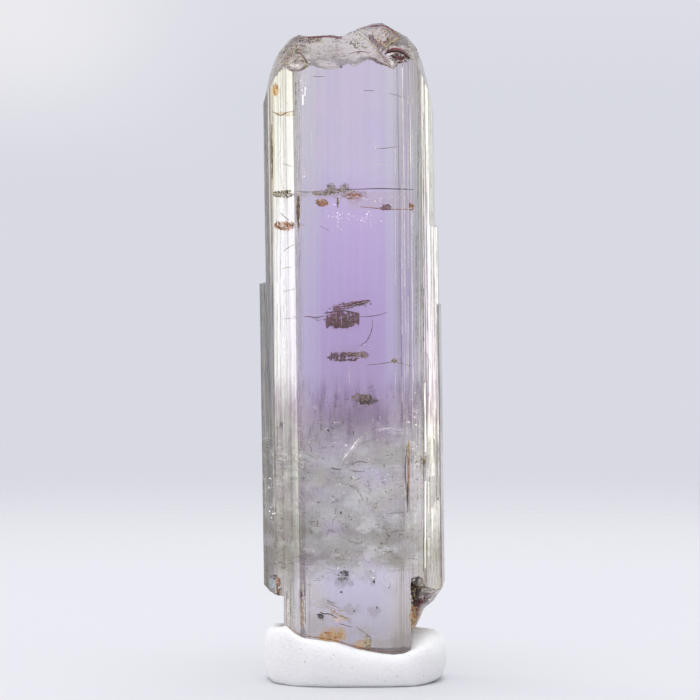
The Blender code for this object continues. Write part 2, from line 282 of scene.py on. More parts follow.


# Tinted spots on the crystal's skin and in its clouds, one of them painted shade: centre, size,
# colour, how strong.
SPOTS = [
    ((1.1, -3.4, 11.5), (0.9, 2.0, 0.8), (0.62, 0.55, 0.76), 0.6),
    ((-1.1, -3.4, 8.7), (0.65, 2.0, 0.5), (0.44, 0.34, 0.47), 0.6),
    ((-1.8, -3.4, 11.6), (0.4, 1.5, 0.6), (0.44, 0.42, 0.29), 0.45),
    ((-1.0, -3.4, 13.2), (1.5, 2.0, 0.5), (0.44, 0.35, 0.45), 0.7),
    ((1.9, -3.4, 12.6), (1.6, 2.0, 0.6), (0.5, 0.5, 0.42), 0.7),
    ((-1.2, -3.4, 7.9), (2.4, 2.0, 0.45), (0.34, 0.33, 0.3), 0.7),
    ((0.3, -3.4, 10.2), (0.8, 2.0, 0.65), (0.66, 0.68, 0.66), 0.6),
    ((-4.28, -2.1, 32.9), (0.22, 0.6, 0.42), (0.42, 0.2, 0.03), 1.0),
    ((-3.75, -2.7, 25.42), (0.85, 1.4, 0.3), (0.4, 0.16, 0.05), 0.9),
    ((-3.02, -3.3, 26.1), (0.12, 0.5, 1.1), (0.26, 0.15, 0.08), 0.9),
    ((-3.8, -2.6, 27.15), (0.75, 1.4, 0.22), (0.4, 0.35, 0.28), 0.9),
    ((-3.8, -2.6, 31.6), (0.75, 1.4, 0.13), (0.42, 0.3, 0.14), 0.9),
    ((-4.5, -1.7, 29.3), (0.16, 0.7, 2.2), (0.26, 0.17, 0.09), 0.9),
    ((-4.55, -1.0, 5.5), (0.3, 0.8, 0.35), (0.22, 0.42, 0.42), 0.9),
    ((-4.2, -1.8, 5.7), (0.22, 0.7, 0.35), (0.5, 0.16, 0.03), 0.9),
    ((3.5, -2.7, 5.15), (0.36, 1.6, 0.62), (0.05, 0.03, 0.02), 1.0),
    ((3.75, -2.2, 4.45), (0.42, 1.6, 0.32), (0.16, 0.03, 0.02), 1.0),
    ((3.5, -2.4, 3.8), (0.45, 1.6, 0.55), (0.42, 0.27, 0.1), 0.9),
    ((-1.12, -3.4, 2.78), (0.92, 0.9, 0.56), (0.64, 0.33, 0.065), 1.0),
    ((-1.45, -3.4, 2.55), (0.35, 0.9, 0.22), (0.5, 0.2, 0.03), 0.9),
    ((0.36, -3.4, 2.24), (0.46, 0.9, 0.34), (0.62, 0.34, 0.07), 0.9),
    ((0.83, -3.4, 2.35), (0.28, 0.9, 0.56), (0.46, 0.33, 0.07), 0.9),
    ((-0.75, -3.4, 3.75), (0.6, 0.9, 0.16), (0.62, 0.48, 0.2), 0.7),
    ((-1.55, -3.4, 4.55), (0.8, 0.9, 0.3), (0.42, 0.38, 0.32), 0.7),
    ((-0.1, -3.4, 4.25), (0.55, 0.9, 0.35), (0.34, 0.31, 0.3), 0.8),
    ((1.15, -3.4, 4.15), (0.5, 0.9, 0.34), (0.34, 0.3, 0.3), 0.8),
    ((-0.55, -3.4, 5.75), (0.55, 0.9, 0.4), (0.26, 0.24, 0.23), 0.8),
    ((0.6, -3.4, 3.05), (0.8, 0.9, 0.35), (0.46, 0.42, 0.34), 0.7),
    ((0.95, -3.4, 6.1), (0.45, 0.9, 0.35), (0.4, 0.36, 0.34), 0.7),
    ((-2.4, -3.4, 5.2), (0.95, 0.9, 0.7), (0.5, 0.46, 0.38), 0.55),
    ((-2.1, -3.4, 3.6), (0.75, 0.9, 0.6), (0.48, 0.44, 0.38), 0.7),
    ((2.1, -3.4, 5.3), (0.6, 0.9, 0.5), (0.5, 0.47, 0.46), 0.5),
    # A grey spot low on the foot's right: painted shade where the putty's back wall shows through.
    ((2.7, -3.3, 2.4), (0.75, 1.2, 0.65), (0.34, 0.31, 0.27), 0.9),
    ((1.5, -3.4, 2.35), (0.55, 1.2, 0.35), (0.42, 0.38, 0.3), 0.8),
    ((-0.62, -3.4, 20.3), (1.05, 2.0, 0.62), (0.5, 0.3, 0.52), 0.8),
    ((-0.42, -3.4, 18.3), (1.2, 2.0, 0.4), (0.52, 0.36, 0.54), 0.6),
    ((0.75, -3.4, 15.8), (0.85, 2.0, 0.45), (0.36, 0.26, 0.34), 0.7),
    ((-0.9, -3.4, 27.25), (1.1, 2.0, 0.3), (0.46, 0.4, 0.36), 0.8),
    ((0.15, -3.4, 27.1), (0.6, 2.0, 0.35), (0.46, 0.3, 0.32), 0.8),
    ((-2.9, -3.4, 27.2), (0.6, 1.4, 0.2), (0.5, 0.44, 0.38), 0.7),
    ((-0.9, -3.4, 32.0), (1.5, 2.0, 0.9), (0.84, 0.69, 0.84), 0.6),
    ((-1.3, -3.4, 29.9), (1.0, 2.0, 1.1), (0.82, 0.7, 0.85), 0.5),
    ((1.2, -3.4, 30.6), (1.0, 2.0, 1.6), (0.68, 0.64, 0.88), 0.4),
    ((-2.75, -3.4, 3.9), (0.22, 0.6, 1.6), (0.84, 0.9, 1.0), 0.95),
    ((-3.38, -3.0, 4.5), (0.22, 1.0, 0.75), (0.38, 0.4, 0.31), 0.7),
    ((3.0, -3.3, 7.6), (0.75, 1.5, 0.85), (0.34, 0.31, 0.26), 0.75),
    ((3.85, -2.8, 12.2), (0.35, 1.2, 0.5), (0.34, 0.3, 0.21), 0.7),
]


def new_group(name, inputs, output, kind):
    """An empty node group with named inputs and one named output, and its graph."""
    tree = bpy.data.node_groups.new(name, "ShaderNodeTree")
    for title, socket in inputs.items():
        tree.interface.new_socket(name=title, in_out="INPUT", socket_type="NodeSocket" + socket)
    tree.interface.new_socket(name=output, in_out="OUTPUT", socket_type="NodeSocket" + kind)
    return tree, Graph(tree)


def speck_group():
    """Node group: a mask of small scattered specks, more and larger ones the lower Start is."""
    inputs = {"Place": "Vector", "Fineness": "Float", "Start": "Float", "Full": "Float"}
    tree, graph = new_group("scattered_specks", inputs, "Mask", "Float")
    given = graph.add("NodeGroupInput").outputs
    ends = {"From Min": given["Start"], "From Max": given["Full"]}
    ends["Value"] = graph.noise(given["Place"], given["Fineness"], 2.0, 0.6)
    mask = graph.add("ShaderNodeMapRange", ends, interpolation_type="SMOOTHSTEP")
    graph.add("NodeGroupOutput", {"Mask": mask.outputs["Result"]})
    return tree


def patch_group():
    """Node group: two colours in uneven patches."""
    inputs = {"Place": "Vector", "Fineness": "Float", "Darker": "Color", "Lighter": "Color"}
    tree, graph = new_group("uneven_patches", inputs, "Colour", "Color")
    given = graph.add("NodeGroupInput").outputs
    patches = graph.rise(graph.noise(given["Place"], given["Fineness"], 5.0, 0.65), 0.40, 0.60)
    graph.add("NodeGroupOutput", {"Colour": graph.mix(patches, given["Darker"], given["Lighter"])})
    return tree


def tanzanite(speck_tree):
    """Clear violet crystal, zoned by height, with growth lines, clouds and stained breaks."""
    made, graph, shader = new_material(
        "tanzanite", (0.8, 0.7, 0.95), 0.0, Transmission_Weight=1.0, IOR=IOR)
    mm = graph.millimetres()
    x, y, z = graph.add("ShaderNodeSeparateXYZ", {"Vector": mm}).outputs
    broken = graph.add("ShaderNodeAttribute", attribute_name="broken").outputs["Fac"]
    smoke = graph.noise(mm, 1.3, 4.0, 0.6)

    colour, deep = zoned_colour(graph, mm, x, z)
    colour = clouded_colour(graph, mm, (x, y, z), colour)
    seam = graph.times(graph.band(x, -0.5, -0.2, 3.30, 3.42),
                       graph.band(z, 26.3, 26.5, 27.3, 27.42), graph.rise(y, 0.5, -0.5), 0.55)
    colour = graph.mix(seam, colour, SEAM_BROWN)
    far_side = graph.times(graph.rise(graph.math("ABSOLUTE", x), 4.15, 4.4),
                           graph.rise(y, 0.3, 0.9), graph.rise(z, 11.5, 14.5), 0.9)
    colour = graph.mix(far_side, colour, deep)
    uneven = graph.math("SUBTRACT", graph.noise(mm, 2.6, 4.0, 0.6), 0.5)
    for centre, size, tint, strength in SPOTS:
        mask = spot_mask(graph, mm, uneven, centre, size)
        colour = graph.mix(graph.times(mask, strength), colour, tint)
    at_top = graph.rise(z, 31.0, 33.0)
    stained = graph.times(broken, graph.scaled(at_top, 0.55, 0.4))
    colour = graph.mix(stained, colour, break_colour(graph, mm, x, smoke, speck_tree))
    graph.feed(shader.inputs["Base Color"], colour)

    # Light is also absorbed along its way, so a longer way through the crystal is a deeper violet.
    inner = graph.add("ShaderNodeVolumeAbsorption", ABSORBED).outputs["Volume"]
    graph.feed(made.node_tree.nodes["Material Output"].inputs["Volume"], inner)

    # Growth lines run up the prism and are faint on its front. Breaks have shallow ripples.
    front = graph.band(x, -3.1, -2.9, 2.2, 2.5)
    lines = graph.times(graph.noise(mm, (7.0, 7.0, 0.05), 3.0, 0.6), graph.scaled(front, -0.7, 1.0))
    graph.bump(shader, graph.mix(broken, lines, graph.noise(mm, 1.2, 3.0)), 0.00003, 1.0)

    # The cloudy part and the breaks are not quite clear.
    off_edge = graph.scaled(graph.rise(x, 4.1, 3.3), 0.29, 0.01)
    grain = graph.rise(graph.noise(mm, (1.6, 1.6, 0.7), 4.0), 0.35, 0.7)
    haze = graph.times(graph.band(z, 4.0, 8.0, 11.0, 14.5), grain, off_edge)
    frost = graph.times(broken, graph.scaled(smoke, 0.20, 0.04))
    graph.feed(shader.inputs["Roughness"], graph.math("MAXIMUM", haze, frost))
    return made


def zoned_colour(graph, mm, x, z):
    """The colour by height on each upright part, and the deep one of the middle by itself."""
    drips = graph.scaled(graph.noise(mm, (2.2, 2.2, 0.12), 3.0), 3.4, -1.7)
    wander = graph.scaled(graph.noise(mm, (0.8, 0.8, 1.6), 4.0), 3.0, -1.5)
    level = graph.scaled(drips, graph.band(z, 11.0, 14.0, 18.0, 21.0), z)
    level = graph.scaled(wander, graph.band(z, 4.5, 6.5, 12.0, 15.0), level)
    height = graph.math("DIVIDE", level, RAMP_TOP)
    deep, pale, left_bevel_painted_light, right_bevel_painted_light, left_side_shade_and_blotches = [
        graph.ramp(height, heights(stops)) for stops in ZONES.values()]
    colour = graph.mix(graph.band(x, -2.9, -0.9, 1.2, 2.6), pale, deep)
    bands = graph.ramp(graph.noise(mm, (1.7, 0.4, 0.02), 3.0, 0.6), UPRIGHT_BANDS)
    colour = graph.darken(0.8, colour, bands)
    # The bevels take their own ramps, pale where the side panels light them: a painted highlight.
    colour = graph.mix(graph.rise(x, -2.95, -3.4), colour, left_bevel_painted_light)
    colour = graph.darken(graph.band(x, 2.3, 2.7, 3.4, 3.9), colour, BEVEL_CREAM)
    colour = graph.mix(graph.rise(x, 2.4, 3.9), colour, right_bevel_painted_light)

    # Brown threads run up the bevels, fainter where the right bevel carries its painted highlight,
    # and runs of colour hang below the deepest zone.
    threads = graph.rise(graph.noise(mm, (6.5, 6.5, 0.1), 3.0, 0.6), 0.52, 0.62)
    off_front = graph.math("SUBTRACT", 1.0, graph.band(x, -3.35, -3.05, 2.3, 2.6))
    bright = graph.times(graph.band(z, 7.0, 9.0, 12.5, 15.0), graph.rise(x, 2.9, 3.4))
    threads = graph.times(threads, graph.scaled(bright, -0.68, 0.75), off_front)
    colour = graph.darken(threads, colour, THREAD_BROWN)
    runs = graph.rise(graph.noise(mm, (2.9, 2.9, 0.55), 4.0, 0.6), 0.50, 0.60)
    runs = graph.times(runs, graph.band(z, 13.2, 14.2, 15.9, 17.2), 0.9)
    colour = graph.darken(runs, colour, RUN_MAUVE)

    # The left side's near-black ramp is painted shade, with grey streaks and brown blotches.
    streaks = graph.rise(graph.noise(mm, (3.2, 3.2, 0.35), 4.0, 0.6), 0.55, 0.80)
    left_side_shade_and_blotches = graph.mix(graph.times(streaks, graph.rise(z, 5.5, 10.0)), left_side_shade_and_blotches, STREAK_GREY)
    blotches = graph.rise(graph.noise(mm, (2.6, 2.6, 1.1), 4.0, 0.6), 0.55, 0.68)
    left_side_shade_and_blotches = graph.mix(blotches, left_side_shade_and_blotches, BLOTCH_BROWN)
    return graph.mix(graph.rise(x, -4.25, -4.45), colour, left_side_shade_and_blotches), deep


def clouded_colour(graph, mm, axes, colour):
    """The cloudy lower part: pale and dull patches in several tints."""
    x, y, z = axes
    mottle = graph.noise(mm, (0.8, 0.5, 1.1), 5.0, 0.58)
    off_edge = graph.scaled(graph.rise(x, 4.2, 3.3), 0.85, 0.15)
    cloud = graph.times(graph.band(z, 5.2, 7.0, 12.5, 15.2), off_edge)
    off_left = graph.scaled(graph.rise(x, -2.9, -3.3), -0.4, 0.7)
    pale = graph.times(off_left, cloud, graph.rise(mottle, 0.49, 0.64))
    colour = graph.mix(pale, colour, CLOUD_PALE)
    dull = graph.times(cloud, graph.rise(mottle, 0.47, 0.33), 0.55)
    colour = graph.mix(dull, colour, CLOUD_DULL)
    left = graph.times(cloud, graph.rise(x, 1.2, -2.0))
    colour = graph.darken(left, colour, CLOUD_LEFT)
    tints = graph.noise(mm, (0.55, 0.3, 0.9), 4.0, 0.55, shift=(4.0, 0.0, 9.0))
    colour = graph.darken(cloud, colour, graph.ramp(tints, CLOUD_TINTS))
    behind = graph.times(cloud, graph.rise(y, 0.5, 2.0), 0.5)
    colour = graph.mix(behind, colour, CLOUD_BEHIND)
    before = graph.times(cloud, graph.rise(y, 0.5, -1.0), graph.rise(x, 3.2, 2.6))
    return graph.darken(before, colour, CLOUD_BEFORE)


def break_colour(graph, mm, x, smoke, speck_tree):
    """Broken faces are beige and smoky, paler at the chip, with smears and dark specks."""
    colour = graph.mix(graph.rise(smoke, 0.35, 0.65), BREAK_BROWN, BREAK_BEIGE)
    chip = graph.band(x, -2.75, -2.35, 0.6, 1.6)
    colour = graph.mix(graph.times(chip, 0.8), colour, CHIP_BEIGE)
    smears = graph.rise(graph.noise(mm, (3.6, 3.6, 1.6), 4.0, 0.7), 0.50, 0.60)
    colour = graph.mix(graph.times(smears, graph.scaled(chip, -0.65, 0.80)), colour, SMEAR_BROWN)
    specks = graph.group(speck_tree, Place=mm, Fineness=5.0, Start=0.60, Full=0.64)
    return graph.mix(specks, colour, SPECK_BLACK)


def white_putty(speck_tree):
    """Soft matt putty with faint handling marks and specks of dust."""
    made, graph, shader = new_material("white_putty", (0.86, 0.86, 0.88), 0.7)
    mm = graph.millimetres()
    colour = graph.mix(graph.noise(mm, 0.8, 4.0), (0.90, 0.90, 0.915), (0.955, 0.955, 0.96))
    dust = graph.group(speck_tree, Place=mm, Fineness=7.0, Start=0.69, Full=0.73)
    graph.feed(shader.inputs["Base Color"], graph.mix(dust, colour, (0.58, 0.56, 0.54)))
    graph.bump(shader, graph.noise(mm, 5.0, 5.0, 0.6), 0.00007, 0.9)
    return made


def mineral(name, tree, dark, light, roughness, fineness, painted_glow):
    """A mineral inside the crystal: two colours in uneven patches, which also shine as emission in
    those colours, a painted light standing in for the backdrop's light reaching it through the
    crystal.
    """
    made, graph, shader = new_material(name, dark, roughness, Emission_Strength=painted_glow)
    colour = graph.group(tree, Place=graph.millimetres(), Fineness=fineness,
                         Darker=(*dark, 1.0), Lighter=(*light, 1.0))
    graph.feed(shader.inputs["Base Color"], colour)
    # The patch colours also shine as emission: painted light.
    graph.feed(shader.inputs["Emission Color"], colour)
    return made


# Minerals: darker colour, lighter colour, roughness, fineness of the patches, and emission strength,
# a painted light standing in for the light through it.
MINERALS = {
    "red_brown": ((0.060, 0.008, 0.014), (0.21, 0.040, 0.062), 0.5, 3.5, 0.40),
    "black_brown": ((0.020, 0.006, 0.008), (0.075, 0.028, 0.022), 0.4, 4.0, 0.30),
    "olive_brown": ((0.11, 0.075, 0.030), (0.40, 0.32, 0.16), 0.5, 4.0, 0.40),
    "rust": ((0.20, 0.060, 0.018), (0.60, 0.31, 0.13), 0.6, 3.5, 0.42),
    "amber": ((0.42, 0.21, 0.06), (0.74, 0.52, 0.26), 0.5, 3.0, 0.5),
    "brass": ((0.30, 0.17, 0.06), (0.80, 0.62, 0.34), 0.3, 5.0, 0.4),
    "beige_crust": ((0.34, 0.30, 0.22), (0.70, 0.66, 0.55), 0.5, 5.0, 0.35),
    "grey_veil": ((0.26, 0.24, 0.25), (0.56, 0.54, 0.55), 0.7, 4.0, 0.42),
    "white_veil": ((0.72, 0.71, 0.72), (0.93, 0.93, 0.93), 0.6, 6.0, 0.5),
    # Painted glints: near-white grains shining at full emission, standing in for fracture facets
    # that catch the light.
    "glint": ((0.95, 0.95, 0.96), (1.0, 1.0, 1.0), 0.1, 6.0, 1.0),
    "teal_film": ((0.30, 0.46, 0.46), (0.62, 0.74, 0.72), 0.4, 4.0, 0.35),
    "pink_veil": ((0.74, 0.58, 0.76), (0.95, 0.84, 0.92), 0.5, 6.0, 0.55),
}


# Pieces

LEAN = math.radians(0.8)    # how far the crystal leans to the left
BREAK_TILT = 0.03           # a face that looks up or down by more than this is a broken one


def build_crystal(material):
    """The crystal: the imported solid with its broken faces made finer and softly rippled."""
    form = bmesh.new()
    form.from_mesh(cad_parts["crystal"].data)
    broken = form.faces.layers.float.new("broken")
    bmesh.ops.remove_doubles(form, verts=form.verts, dist=0.002 * MM)
    form.normal_update()
    upright = Vector((-math.sin(LEAN), 0.0, math.cos(LEAN)))
    for face in form.faces:
        face[broken] = float(abs(face.normal.dot(upright)) > BREAK_TILT)
    inner = [edge for edge in form.edges
             if len(edge.link_faces) == 2 and all(face[broken] > 0.5 for face in edge.link_faces)]
    bmesh.ops.subdivide_edges(form, edges=inner, cuts=1, use_grid_fill=True, smooth=0.0)
    bmesh.ops.triangulate(form, faces=form.faces[:])
    form.normal_update()
    for face in form.faces:
        face.smooth = face[broken] > 0.5
    piece = new_piece("tanzanite_crystal", form, material)
    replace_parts(piece, "crystal")
    return piece


EYE_DISTANCE = 420.0
EYE_RISE = math.radians(4.0)
EYE_TARGET = Vector((-0.17, 0.0, 18.38))
EYE = EYE_TARGET + EYE_DISTANCE * Vector((0.0, -math.cos(EYE_RISE), math.sin(EYE_RISE)))


class Inside:
    """Finds places inside the crystal by where they show on its front."""

    THINNEST = 0.15     # where the crystal is thinner than this, there is no place
    BACK_GAP = 0.1      # how far every place stays off the crystal's back, in millimetres

    def __init__(self, piece):
        form = bmesh.new()
        form.from_mesh(piece.data)
        self.tree = BVHTree.FromBMesh(form)
        form.free()

    def place(self, x, height, depth):
        """The point at a depth along the bent ray that shows at x and height on the middle plane."""
        way = (Vector((x, 0.0, height)) - EYE).normalized()
        hit, normal, _, _ = self.tree.ray_cast(EYE * MM, way)
        if hit is None:
            return None
        turned = -normal.dot(way)
        root = math.sqrt(1.0 - (1.0 - turned * turned) / IOR ** 2)
        bent = way / IOR + (turned / IOR - root) * normal
        _, _, _, reach = self.tree.ray_cast(hit + bent * 0.01 * MM, bent)
        if reach is None or reach < self.THINNEST * MM:
            return None
        return hit + bent * min(depth * MM, reach - self.BACK_GAP * MM)


def add_thread(form, points, radius, taper=True):
    """A thin uneven strand through points, as a closed tube."""
    points = [point for point in points if point is not None]
    if len(points) < 2:
        return
    curve = bpy.data.curves.new("strand", "CURVE")
    curve.dimensions = "3D"
    curve.bevel_depth = radius * MM
    curve.bevel_resolution = 0
    curve.resolution_u = 3
    curve.use_fill_caps = True
    spline = curve.splines.new("NURBS")
    spline.points.add(len(points) - 1)
    spline.order_u = 3
    spline.use_endpoint_u = True
    last = len(points) - 1
    for index, (spot, point) in enumerate(zip(spline.points, points)):
        spot.co = (*point, 1.0)
        swell = math.sin(math.pi * (index + 0.35) / (last + 0.7)) if taper else 1.0
        spot.radius = (0.35 + 0.65 * swell) * (1.0 + 0.35 * noise.noise(point * 4000.0))
    holder = bpy.data.objects.new("strand", curve)
    bpy.context.scene.collection.objects.link(holder)
    graph = bpy.context.evaluated_depsgraph_get()
    mesh = bpy.data.meshes.new_from_object(holder.evaluated_get(graph))
    form.from_mesh(mesh)
    bpy.data.objects.remove(holder)
    bpy.data.curves.remove(curve)
    bpy.data.meshes.remove(mesh)


SHEET_THICKNESS = 0.02
SHEET_RAGGED = 0.55     # how unevenly a sheet's rim is worn


def add_sheet(form, place, half, cell, seed, fill, streaks):
    """A ragged thin sheet. place turns a spot in the flat sheet, in millimetres, into a point."""
    sheet = bmesh.new()
    across = max(3, round(2 * half[0] / cell))
    up = max(2, round(2 * half[1] / cell))
    bmesh.ops.create_grid(sheet, x_segments=across, y_segments=up, size=1.0)
    gone = []
    for face in sheet.faces:
        x, y, _ = face.calc_center_median()
        u, v = x * half[0], y * half[1]
        tone = 0.7 * noise_at(x * 1.3, y * 1.3, seed)
        tone += 0.5 * noise_at(x * 4.0, y * 3.0, seed + 3.0)
        tone += 0.6 * noise_at(u * 8.0, y * 3.5, seed + 5.0)
        tone += streaks * noise_at(u * 7.0, v * 0.7, seed + 9.0)
        reach = math.hypot(x, y) + SHEET_RAGGED * tone
        if reach > 0.95 or tone > fill:
            gone.append(face)
    bmesh.ops.delete(sheet, geom=gone, context="FACES")
    bmesh.ops.scale(sheet, vec=(*half, 1.0), verts=sheet.verts)
    bmesh.ops.solidify(sheet, geom=sheet.faces[:], thickness=SHEET_THICKNESS)
    lost = []
    for vert in sheet.verts:
        point = place(*vert.co)
        if point is None:
            lost.append(vert)
        else:
            vert.co = point
    bmesh.ops.delete(sheet, geom=lost, context="VERTS")
    pour(sheet, form)


class Flecks:
    """Adds many tiny angular grains to a form."""

    def __init__(self, seed):
        self.random = random.Random(seed)
        self.shapes = []
        for sides in (3, 4):
            form = bmesh.new()
            bmesh.ops.create_cone(
                form, cap_ends=True, segments=sides, radius1=1.0, radius2=0.25, depth=0.9)
            mesh = bpy.data.meshes.new("grain")
            form.to_mesh(mesh)
            form.free()
            self.shapes.append(mesh)

    def add(self, form, point, size, flat=1.0, long=1.0):
        """One grain at a point, turned at random; size in millimetres."""
        if point is None:
            return
        draw = self.random
        shape = draw.choice(self.shapes).copy()
        turn = Euler([draw.uniform(0.0, math.tau) for _ in range(3)]).to_matrix().to_4x4()
        grow = Matrix.Diagonal((size * MM, size * MM * flat, size * MM * long, 1.0))
        shape.transform(Matrix.Translation(point) @ turn @ grow)
        form.from_mesh(shape)
        bpy.data.meshes.remove(shape)


